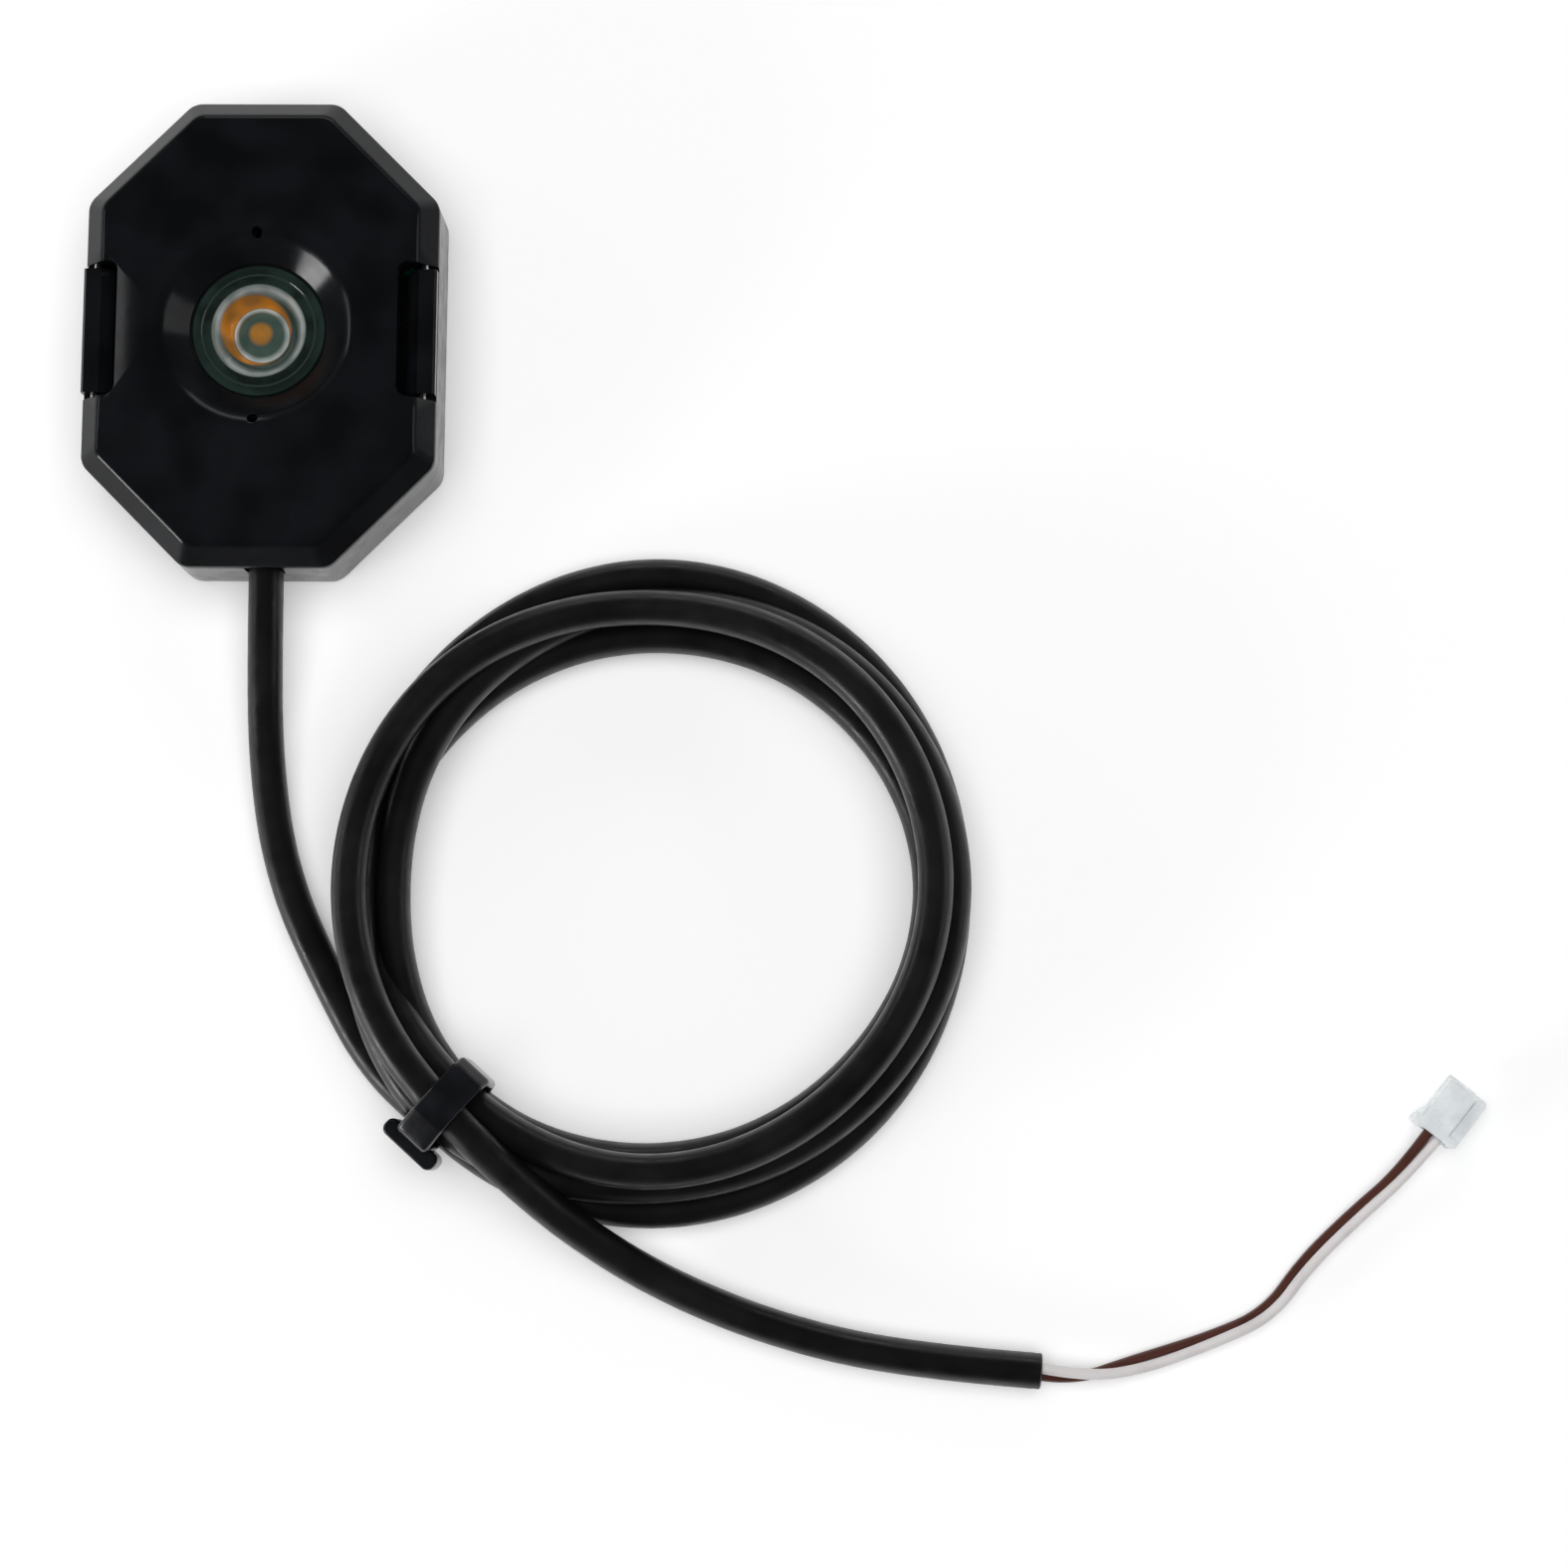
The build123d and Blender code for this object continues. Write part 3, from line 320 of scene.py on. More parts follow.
    # Fired alumina of the emitter package: chalky, greyed by its lacquer, with a tiny grain
    made["package_ceramic"] = moulded_plastic("fired_alumina", "#7f8781", "#6f776f", 0.45, 0.15, 0.006, 2.0,
                                              IOR=1.76)
    # Solder mask over glass-fibre laminate: green lacquer, with copper tracks raised below it and a woven grain
    board, tree, shader, place = finish("green_solder_mask_laminate", "#0f4a2c", 0.28, IOR=1.55)
    tracks = node(tree, "ShaderNodeTexBrick", {"Vector": place, "Scale": 1 / (2.4 * MM), "Mortar Size": 0.09,
                                               "Brick Width": 0.9, "Row Height": 0.45,
                                               "Color1": (0, 0, 0, 1), "Color2": (0, 0, 0, 1),
                                               "Mortar": (1, 1, 1, 1)}).outputs[0]
    weave = node(tree, "ShaderNodeTexWave", {"Vector": place, "Scale": 1 / (3.0 * MM),
                                             "Distortion": 0.6}).outputs[1]
    tint(tree, shader, tracks, "#0f4a2c", "#1d6a40")
    bumps = relief(tree, shader, tracks, 0.03, 0.8)
    relief(tree, shader, weave, 0.004, 0.5, bumps)
    made["board_laminate"] = board
    # Die-cast and rolled metals
    made["spreader_aluminium"] = drawn_metal("rolled_aluminium", "#c9cbcd", 0.35, 0.3, (1, 12, 1))
    made["pin_steel"] = drawn_metal("ground_stainless_pin", "#b9b9bd", 0.22, 0.2, (1, 10, 1))
    made["screw_steel"] = drawn_metal("zinc_plated_screw", "#b4b6b8", 0.28, 0.25, (1, 1, 6))
    made["insert_brass"] = drawn_metal("turned_brass", "#c8a35a", 0.26, 0.2, (1, 1, 10))
    made["terminal_tin"] = drawn_metal("stamped_tinned_bronze", "#c4c3be", 0.3, 0.3, (6, 6, 1))
    # Reflowed solder: bright, gently rippled, never straight-lined
    solder, tree, shader, place = finish("reflowed_solder", "#b9bbbd", 0.2, Metallic=1.0)
    relief(tree, shader, noise(tree, place, 0.6, 2.0), 0.03, 0.8)
    tree.links.new(spread(tree, noise(tree, place, 0.3, 3.0), 0.15, 0.35), shader.inputs["Roughness"])
    made["solder"] = solder
    # Gap-filling pad: soft grey, cut with a blade
    made["pad_silicone"] = moulded_plastic("cut_silicone_pad", "#74797e", "#666b70", 0.8, 0.3, 0.02, 2.0, IOR=1.41)
    # Pressed ferrite: dark, gritty, with small chips
    made["ferrite"] = moulded_plastic("pressed_ferrite", "#2b2b2c", "#1b1b1c", 0.6, 0.2, 0.02, 1.5, IOR=2.0)
    # Moulded epoxy of the driver: flat black with a fine spark-eroded texture
    made["chip_epoxy"] = moulded_plastic("spark_textured_epoxy", "#1c1c1d", "#141415", 0.6, 0.12, 0.012, 2.0,
                                         IOR=1.55)
    # Fired ceramic of capacitors and resistors: tan body
    chip, tree, shader, place = finish("fired_ceramic_chip", "#a98660", 0.45, IOR=1.8)
    tint(tree, shader, spread(tree, noise(tree, place, 0.3, 3.0), 0.0, 1.0), "#b08c64", "#8e6e4c")
    relief(tree, shader, noise(tree, place, 0.15, 3.0), 0.006, 0.8)
    made["capacitor_ceramic"] = chip
    return made


# ---------------------------------------------------------------- meshes
def put(name, mesh):
    """Object at the origin with its place in its mesh."""
    made = bpy.data.objects.new(name, mesh)
    bpy.context.scene.collection.objects.link(made)
    return made


def mesh_data(mesh, name):
    """Plain mesh from an edit mesh, which is then freed."""
    data = bpy.data.meshes.new(name)
    mesh.to_mesh(data)
    mesh.free()
    return data


def final_mesh(made):
    """Turn an object's modifiers or curve into a plain mesh."""
    graph = bpy.context.evaluated_depsgraph_get()
    return bpy.data.meshes.new_from_object(made.evaluated_get(graph))


def settle(made):
    """Apply an object's modifiers."""
    mesh = final_mesh(made)
    made.modifiers.clear()
    made.data = mesh
    return made


def smooth(made, angle=35):
    """Shade smooth up to an angle, with sharp edges beyond it."""
    mesh = made.data
    mesh.polygons.foreach_set("use_smooth", [True] * len(mesh.polygons))
    mesh.set_sharp_from_angle(angle=radians(angle))
    return made


def soften_edges(made, width, segments=3, limit=38, flats=True):
    """Round an object's edges by width millimetres and, if asked, keep its flats flat in the light."""
    bevel = made.modifiers.new("edges", "BEVEL")
    bevel.width = width * MM
    bevel.segments = segments
    bevel.limit_method = "ANGLE"
    bevel.angle_limit = radians(limit)
    bevel.use_clamp_overlap = True
    bevel.miter_outer = "MITER_ARC"
    settle(made)
    smooth(made, 50)
    if not flats:
        return made
    weight = made.modifiers.new("flats", "WEIGHTED_NORMAL")
    weight.keep_sharp = True
    weight.weight = 70
    return settle(made)


def join_rings(rings, closed=False, name="rings"):
    """Mesh from rings of equal count; closed joins the last ring to the first."""
    mesh = bmesh.new()
    rows = [[mesh.verts.new(Vector(point) * MM) for point in ring] for ring in rings]
    pairs = list(zip(rows, rows[1:])) + ([(rows[-1], rows[0])] if closed else [])
    count = len(rows[0])
    for low, high in pairs:
        for i in range(count):
            j = (i + 1) % count
            mesh.faces.new((low[i], low[j], high[j], high[i]))
    if not closed:
        mesh.faces.new(rows[0][::-1])
        mesh.faces.new(rows[-1])
    bmesh.ops.recalc_face_normals(mesh, faces=mesh.faces)
    return mesh_data(mesh, name)


def lathe(profile, segments, name, centre=(0, 0)):
    """Turn a closed or axis-to-axis profile of (radius, height) about a vertical line."""
    mesh = bmesh.new()
    rows = []
    for radius, height in profile:
        if radius < 1e-6:
            rows.append([mesh.verts.new(Vector((centre[0], centre[1], height)) * MM)])
            continue
        rows.append([mesh.verts.new(Vector((centre[0] + radius * cos(2 * pi * i / segments),
                                            centre[1] + radius * sin(2 * pi * i / segments), height)) * MM)
                     for i in range(segments)])
    pairs = list(zip(rows, rows[1:]))
    if len(rows[0]) > 1:
        pairs.append((rows[-1], rows[0]))
    for low, high in pairs:
        for i in range(segments):
            j = (i + 1) % segments
            corners = [low[i % len(low)], low[j % len(low)], high[j % len(high)], high[i % len(high)]]
            unique = [c for k, c in enumerate(corners) if c not in corners[:k]]
            if len(unique) > 2:
                mesh.faces.new(unique)
    bmesh.ops.recalc_face_normals(mesh, faces=mesh.faces)
    return mesh_data(mesh, name)


def rounded_loop(corners, radius, height, arc_steps=8, side_steps=14):
    """Closed loop of a polygon with rounded corners, with equal counts on every corner and side."""
    arcs = []
    for i, corner in enumerate(corners):
        back = (corners[i - 1] - corner).normalized()
        ahead = (corners[(i + 1) % len(corners)] - corner).normalized()
        half = back.angle(ahead) / 2
        centre = corner + (back + ahead).normalized() * (radius / sin(half))
        start = corner + back * (radius / tan(half)) - centre
        end = corner + ahead * (radius / tan(half)) - centre
        arcs.append([centre + start.lerp(end, step / arc_steps).normalized() * radius
                     for step in range(arc_steps + 1)])
    loop = []
    for i, arc in enumerate(arcs):
        following = arcs[(i + 1) % len(arcs)][0]
        loop += arc
        loop += [arc[-1].lerp(following, step / side_steps) for step in range(1, side_steps)]
    return [Vector((point.x, point.y, height)) for point in loop]


def head_loop(inset, height):
    """Outline of the head, moved in by inset."""
    half_x = COVER_HIGH.x - inset
    half_y = COVER_HIGH.y - inset
    cut = CORNER_CUT - inset * (2 - 2 ** 0.5)
    corners = [(half_x - cut, half_y), (half_x, half_y - cut), (half_x, cut - half_y), (half_x - cut, -half_y),
               (cut - half_x, -half_y), (-half_x, cut - half_y), (-half_x, half_y - cut), (cut - half_x, half_y)]
    return rounded_loop([Vector(corner) for corner in corners], CORNER_RADIUS, height)


def circle_loop(radius, height):
    """Circle whose points keep step with the corners of the head's outline."""
    turns = [radians(75.7 - 360 * i / LOOP_POINTS) for i in range(LOOP_POINTS)]
    return [Vector((radius * cos(turn), radius * sin(turn), height)) for turn in turns]


def soft_rings(keys, steps=4):
    """Rings through key rings, with each key's edge rounded back by its reach."""
    loops = [key[0] for key in keys]
    made = []
    for k, (loop, reach) in enumerate(keys):
        if not reach:
            made.append(loop)
            continue
        before, after = loops[k - 1], loops[(k + 1) % len(loops)]
        for step in range(-1, steps + 2):
            t = min(max(step / steps, 0), 1)
            hold = 1.0 if t == step / steps else 1.15
            ring = []
            for point, back, ahead in zip(loop, before, after):
                back, ahead = back - point, ahead - point
                start = point + back * min(reach / max(back.length, 1e-6), 0.42) * hold
                end = point + ahead * min(reach / max(ahead.length, 1e-6), 0.42) * hold
                ring.append(start.lerp(point, t).lerp(point.lerp(end, t), t))
            made.append(ring)
    return made


def cut(made, tool, operation="DIFFERENCE"):
    """Cut an object with another, which is then deleted."""
    change = made.modifiers.new("cut", "BOOLEAN")
    change.operation = operation
    change.solver = "EXACT"
    change.object = tool
    settle(made)
    bpy.data.objects.remove(tool)
    return made


def block(low, high, name="block", radius=0.0):
    """Upright block between two corners, with its upright edges rounded."""
    corners = [Vector((low[0], low[1])), Vector((high[0], low[1])), Vector((high[0], high[1])),
               Vector((low[0], high[1]))]
    if radius:
        loops = [rounded_loop(corners, radius, z, 6, 1) for z in (low[2], high[2])]
    else:
        loops = [[Vector((c.x, c.y, z)) for c in corners] for z in (low[2], high[2])]
    return put(name, join_rings(loops, name=name))


def cad_copy(node_name, name):
    """Merged copy of a CAD node's mesh, its flats made whole."""
    mesh = bmesh.new()
    mesh.from_mesh(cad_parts[node_name].data)
    bmesh.ops.remove_doubles(mesh, verts=mesh.verts, dist=1e-6)
    bmesh.ops.dissolve_limit(mesh, angle_limit=radians(1), verts=mesh.verts, edges=mesh.edges)
    return put(name, mesh_data(mesh, name))


def dress(made, material, slot, body=HOUSING, *nodes):
    """Give a piece its finish, its body and the CAD nodes it stands for."""
    made.data.materials.clear()
    made.data.materials.append(material)
    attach(made, body)
    if nodes:
        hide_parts(*nodes)


def finish_node(node_name, material):
    """Better material on a CAD node that stays."""
    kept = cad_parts[node_name]
    if not kept.material_slots:
        raise RuntimeError("no material slot on " + node_name)
    for place in kept.material_slots:
        place.material = material


# ---------------------------------------------------------------- geometry nodes
def new_tree(name, sockets):
    """Geometry tree with named inputs."""
    tree = bpy.data.node_groups.new(name, "GeometryNodeTree")
    tree.interface.new_socket("Body", in_out="INPUT", socket_type="NodeSocketGeometry")
    for label, kind in sockets:
        tree.interface.new_socket(label, in_out="INPUT", socket_type=kind)
    tree.interface.new_socket("Result", in_out="OUTPUT", socket_type="NodeSocketGeometry")
    return tree, node(tree, "NodeGroupInput").outputs


def end_tree(tree, pieces, body, material):
    """Join the repeated pieces to the body, make them real and set their finish."""
    joined = node(tree, "GeometryNodeJoinGeometry", {"Geometry": pieces})
    tree.links.new(body, joined.inputs[0])
    real = node(tree, "GeometryNodeRealizeInstances", {"Geometry": joined.outputs[0]})
    done = node(tree, "GeometryNodeSetMaterial", {"Geometry": real.outputs[0], "Material": material})
    node(tree, "NodeGroupOutput", {0: done.outputs[0]})
    return tree


def ring_of_ridges():
    """Ridges stood round an upright cylinder, as a knurl."""
    tree, given = new_tree("ring_of_ridges", (("Centre", "NodeSocketVector"), ("Radius", "NodeSocketFloat"),
                                              ("Ridges", "NodeSocketInt"), ("Ridge size", "NodeSocketVector"),
                                              ("Finish", "NodeSocketMaterial")))
    circle = node(tree, "GeometryNodeMeshCircle", {"Vertices": given["Ridges"], "Radius": given["Radius"]})
    place = node(tree, "GeometryNodeInputPosition").outputs[0]
    turn = node(tree, "FunctionNodeAlignRotationToVector", {"Vector": place}, axis="X").outputs[0]
    ridge = node(tree, "GeometryNodeMeshCube", {"Size": given["Ridge size"]}).outputs[0]
    stood = node(tree, "GeometryNodeInstanceOnPoints", {"Points": circle.outputs[0], "Instance": ridge,
                                                        "Rotation": turn}).outputs[0]
    moved = node(tree, "GeometryNodeTransform", {"Geometry": stood, "Translation": given["Centre"]}).outputs[0]
    return end_tree(tree, moved, given["Body"], given["Finish"])


def row_of_ridges():
    """Ridges in a straight row, as ratchet teeth or grip ribs."""
    tree, given = new_tree("row_of_ridges", (("Start", "NodeSocketVector"), ("Step", "NodeSocketVector"),
                                             ("Ridges", "NodeSocketInt"), ("Ridge size", "NodeSocketVector"),
                                             ("Turn", "NodeSocketVector"), ("Finish", "NodeSocketMaterial")))
    line = node(tree, "GeometryNodeMeshLine", {"Count": given["Ridges"], "Start Location": given["Start"],
                                               "Offset": given["Step"]})
    ridge = node(tree, "GeometryNodeMeshCube", {"Size": given["Ridge size"]}).outputs[0]
    turn = node(tree, "FunctionNodeEulerToRotation", {0: given["Turn"]}).outputs[0]
    stood = node(tree, "GeometryNodeInstanceOnPoints", {"Points": line.outputs[0], "Instance": ridge,
                                                        "Rotation": turn}).outputs[0]
    return end_tree(tree, stood, given["Body"], given["Finish"])


def grow(made, tree, **values):
    """Run a tree on an object with its inputs set, and keep the plain mesh."""
    change = made.modifiers.new(tree.name, "NODES")
    change.node_group = tree
    for item in tree.interface.items_tree:
        key = item.name.lower().replace(" ", "_")
        if item.in_out == "INPUT" and key in values:
            change[item.identifier] = values[key]
    return settle(made)


# ---------------------------------------------------------------- settings
class HeadSettings(bpy.types.PropertyGroup):
    """Finish of the optical head."""
    cover_colour: bpy.props.StringProperty(name="Shell colour", description="sRGB hex of the two shells",
                                           default="#131518")
    cover_gloss: bpy.props.FloatProperty(name="Shell roughness", description="Roughness of the cover's gloss",
                                         default=0.17, min=0.0, max=1.0, subtype="FACTOR")
    crease: bpy.props.FloatProperty(name="Crease softness", description="Reach of the rounding at the crown's "
                                    "creases, in millimetres", default=0.55, min=0.0, max=1.5)
    rim: bpy.props.FloatProperty(name="Rim softness", description="Reach of the rounding at the recess's rim, in "
                                 "millimetres", default=1.5, min=0.0, max=2.0)
    edge: bpy.props.FloatProperty(name="Edge rounding", description="Rounding of the cut edges, in millimetres",
                                  default=0.14, min=0.0, max=0.5)


class LeadSettings(bpy.types.PropertyGroup):
    """Sizes and colours of the lead."""
    jacket_diameter: bpy.props.FloatProperty(name="Jacket", description="Outer diameter of the jacket",
                                             default=0.004, unit="LENGTH")
    core_diameter: bpy.props.FloatProperty(name="Core", description="Outer diameter of one core",
                                           default=0.0012, unit="LENGTH")
    jacket_colour: bpy.props.StringProperty(name="Jacket colour", description="sRGB hex of the jacket",
                                            default="#161616")
    white_colour: bpy.props.StringProperty(name="White core", description="sRGB hex of the white core",
                                           default="#e0dcdc")
    brown_colour: bpy.props.StringProperty(name="Brown core", description="sRGB hex of the brown core",
                                           default="#4e2a22")


class StudioSettings(bpy.types.PropertyGroup):
    """Floor and lights."""
    floor_colour: bpy.props.StringProperty(name="Floor", description="sRGB hex of the floor", default="#f6f6f6")
    key_power: bpy.props.FloatProperty(name="Softboxes", description="Strength of the softboxes", default=1.0,
                                       min=0.0)
    horizon: bpy.props.FloatProperty(name="Horizon", description="Brightness of the surroundings low down",
                                     default=0.14, min=0.0)


# ---------------------------------------------------------------- operators
FINISHES = {}


def softbox(name, place, aim, size, power):
    """Rectangular area light aimed at a point; sizes in metres."""
    lamp = bpy.data.lights.new(name, "AREA")
    lamp.shape = "RECTANGLE"
    lamp.size, lamp.size_y = size
    lamp.energy = power
    made = bpy.data.objects.new(name, lamp)
    made.location = place
    made.rotation_euler = (Vector(aim) - Vector(place)).to_track_quat("-Z", "Y").to_euler()
    bpy.context.scene.collection.objects.link(made)
    return made


class OBJECT_OT_head_stage(bpy.types.Operator):
    """Pale floor, soft studio light and the camera"""
    bl_idname = "object.head_stage"
    bl_label = "Stage"

    def execute(self, context):
        studio = context.scene.studio_set
        material, tree, shader, place = finish("matt_paper_floor", studio.floor_colour, 0.9, IOR=1.4,
                                               Emission_Color=(1, 1, 1, 1), Emission_Strength=0.22)
        relief(tree, shader, noise(tree, place, 6.0, 3.0), 0.02, 0.3)
        size = 2.5
        mesh = bpy.data.meshes.new("floor")
        corners = [(-size, -size, 0), (size, -size, 0), (size, size, 0), (-size, size, 0)]
        mesh.from_pydata(corners, [], [(0, 1, 2, 3)])
        floor = put("floor", mesh)
        floor.data.materials.append(material)
        world = bpy.data.worlds.new("studio")
        context.scene.world = world
        world.use_nodes = True
        tree = world.node_tree
        tree.nodes.clear()
        ray = node(tree, "ShaderNodeTexCoord").outputs["Generated"]
        height = node(tree, "ShaderNodeSeparateXYZ", {0: ray}).outputs[2]
        level = node(tree, "ShaderNodeMapRange", {"Value": height, "From Min": 0.12, "From Max": 0.55,
                                                  "To Min": studio.horizon, "To Max": 0.02}).outputs[0]
        back = node(tree, "ShaderNodeBackground", {"Color": (1, 1, 1, 1), "Strength": level})
        node(tree, "ShaderNodeOutputWorld", {"Surface": back.outputs[0]})
        aim = (0.05, -0.05, 0)
        power = studio.key_power
        overhead = softbox("overhead", (aim[0], aim[1], 1.3), aim, (1.6, 1.6), 18 * power)
        overhead.visible_glossy = False
        softbox("softbox_left", (-1.1, 0.25, 0.42), aim, (0.6, 0.25), 0.9 * power)
        softbox("softbox_back", (0.1, 1.2, 0.5), aim, (0.9, 0.3), 1.5 * power)
        softbox("softbox_right", (1.3, 0.1, 0.5), aim, (0.7, 0.3), 0.8 * power)
        softbox("softbox_front", (-0.95, -0.55, 0.22), aim, (0.45, 0.2), 4.0 * power)
        lens = bpy.data.cameras.new("camera")
        lens.lens = CAMERA_LENS
        lens.sensor_width = CAMERA_SENSOR
        camera = bpy.data.objects.new("camera", lens)
        tilt, lean, roll = (radians(angle) for angle in CAMERA_TURN)
        turn = Matrix.Rotation(lean, 4, "Y") @ Matrix.Rotation(tilt, 4, "X") @ Matrix.Rotation(roll, 4, "Z")
        camera.matrix_world = Matrix.Translation(Vector(CAMERA_PLACE) * MM) @ turn
        context.scene.collection.objects.link(camera)
        context.scene.camera = camera
        context.scene.view_settings.view_transform = "Standard"
        return {"FINISHED"}


def cord_curve(name, points, diameter, material):
    """Round cord on one NURBS spline."""
    curve = bpy.data.curves.new(name, "CURVE")
    curve.dimensions = "3D"
    curve.bevel_depth = diameter / 2
    curve.bevel_resolution = 8
    curve.use_fill_caps = True
    curve.resolution_u = 10
    spline = curve.splines.new("NURBS")
    spline.points.add(len(points) - 1)
    for control, point in zip(spline.points, points):
        control.co = (*(Vector(point) * MM), 1)
    spline.order_u = 3
    spline.use_endpoint_u = True
    spline.use_smooth = True
    curve.materials.append(material)
    return put(name, curve)


def coil_points():
    """Points of the coil every few degrees, smooth through the stations of its turns."""
    angles, radii, heights = [], [], []
    for turn, (turn_radii, turn_heights) in enumerate(COIL_TURNS):
        skip = 1 if turn else 0
        angles += [angle + 360 * turn for angle in COIL_STATIONS[skip:]]
        radii += turn_radii[skip:]
        heights += turn_heights[skip:]
    points = []
    for angle in range(angles[0], angles[-1] + 1, COIL_STEP):
        i = max(k for k in range(len(angles) - 1) if angles[k] <= angle)
        t = (angle - angles[i]) / (angles[i + 1] - angles[i])
        near = [max(0, i - 1), i, i + 1, min(len(angles) - 1, i + 2)]
        weights = ((-t + 2 * t ** 2 - t ** 3) / 2, (2 - 5 * t ** 2 + 3 * t ** 3) / 2,
                   (t + 4 * t ** 2 - 3 * t ** 3) / 2, (t ** 3 - t ** 2) / 2)
        radius = sum(w * radii[k] for w, k in zip(weights, near))
        height = sum(w * heights[k] for w, k in zip(weights, near))
        points.append((COIL_CENTRE[0] + radius * cos(radians(angle)), COIL_CENTRE[1] + radius * sin(radians(angle)),
                       max(height, LEAST_HEIGHT)))
    return points


def spline_length(made):
    """Length of a cord's middle line."""
    line = made.copy()
    line.data = made.data.copy()
    line.data.bevel_depth = 0
    bpy.context.scene.collection.objects.link(line)
    mesh = final_mesh(line)
    bpy.data.objects.remove(line)
    places = [v.co for v in mesh.vertices]
    return sum((b - a).length for a, b in zip(places, places[1:]))


class OBJECT_OT_head_cord(bpy.types.Operator):
    """Jacketed lead, from the case through its coil to the cut end, with its mouth"""
    bl_idname = "object.head_cord"
    bl_label = "Lead"

    def execute(self, context):
        lead = context.scene.lead_set
        points = LEAD_ROUTE + [LEAD_JOIN] + coil_points() + [TAIL_JOIN] + TAIL_ROUTE
        cord = cord_curve("cord_jacket", points, lead.jacket_diameter, FINISHES["jacket_pvc"])
        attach(cord, HOUSING)
        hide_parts("cable_lead", "cable_coil", "cable_tail")
        length = spline_length(cord)
        radius = lead.jacket_diameter / 2 / MM
        profile = [(0, -0.1), (radius - 0.45, -0.1), (radius - 0.45, 0.75), (radius - 0.15, 0.85), (radius, 0.7),
                   (radius - 0.04, 0.0), (radius - 0.08, -0.15), (0, -0.15)]
        mouth = put("jacket_mouth", lathe(profile, 48, "jacket_mouth"))
        forward = (Vector(TAIL_ROUTE[-1]) - Vector(TAIL_ROUTE[-2])).normalized()
        turn = forward.to_track_quat("Z", "Y").to_matrix().to_4x4()
        mouth.data.transform(Matrix.Translation(Vector(TAIL_ROUTE[-1]) * MM) @ turn)
        smooth(mouth, 40)
        dress(mouth, FINISHES["jacket_pvc"], "jacket_pvc")
        return {"FINISHED"}


def core_end(side):
    """Last two points of a core: before its cavity and at its contact."""
    forward = Vector((cos(PLUG_ANGLE), sin(PLUG_ANGLE), 0))
    across = Vector((-sin(PLUG_ANGLE), cos(PLUG_ANGLE), 0))
    face = Vector((*PLUG_PLACE, CORE_HEIGHT)) - forward * PLUG_HALF
    mouth = face + across * side * CORE_SPREAD
    return [tuple(mouth - forward * 5.0 - across * side * 0.3), tuple(mouth + forward * 2.0)]


class OBJECT_OT_head_cores(bpy.types.Operator):
    """White and brown cores, from the jacket's end into the connector"""
    bl_idname = "object.head_cores"
    bl_label = "Cores"

    def execute(self, context):
        lead = context.scene.lead_set
        for word, route, side in (("white", WHITE_ROUTE, -1), ("brown", BROWN_ROUTE, 1)):
            slot = f"core_{word}_pvc"
            core = cord_curve(f"core_{word}_wire", route + core_end(side), lead.core_diameter, FINISHES[slot])
            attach(core, HOUSING)
            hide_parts(f"core_{word}")
            round(spline_length(core), 3)
            finish_node(f"inner_lead_{word}", FINISHES[slot])
        return {"FINISHED"}


def tie_block(name, low, high, radius, arc_steps, side_steps):
    """Upright block on the tie, from its outward, sideways and height limits, with rounded upright edges."""
    outward = Vector((cos(TIE_ANGLE), sin(TIE_ANGLE), 0))
    along = Vector((outward.y, -outward.x, 0))
    corners = [Vector((low[0], low[1])), Vector((high[0], low[1])), Vector((high[0], high[1])),
               Vector((low[0], high[1]))]
    loops = [rounded_loop(corners, radius, z, arc_steps, side_steps) for z in (low[2], high[2])]
    loops = [[TIE_PLACE + outward * p.x + along * p.y + Vector((0, 0, p.z)) for p in loop] for loop in loops]
    return put(name, join_rings(loops, name=name))


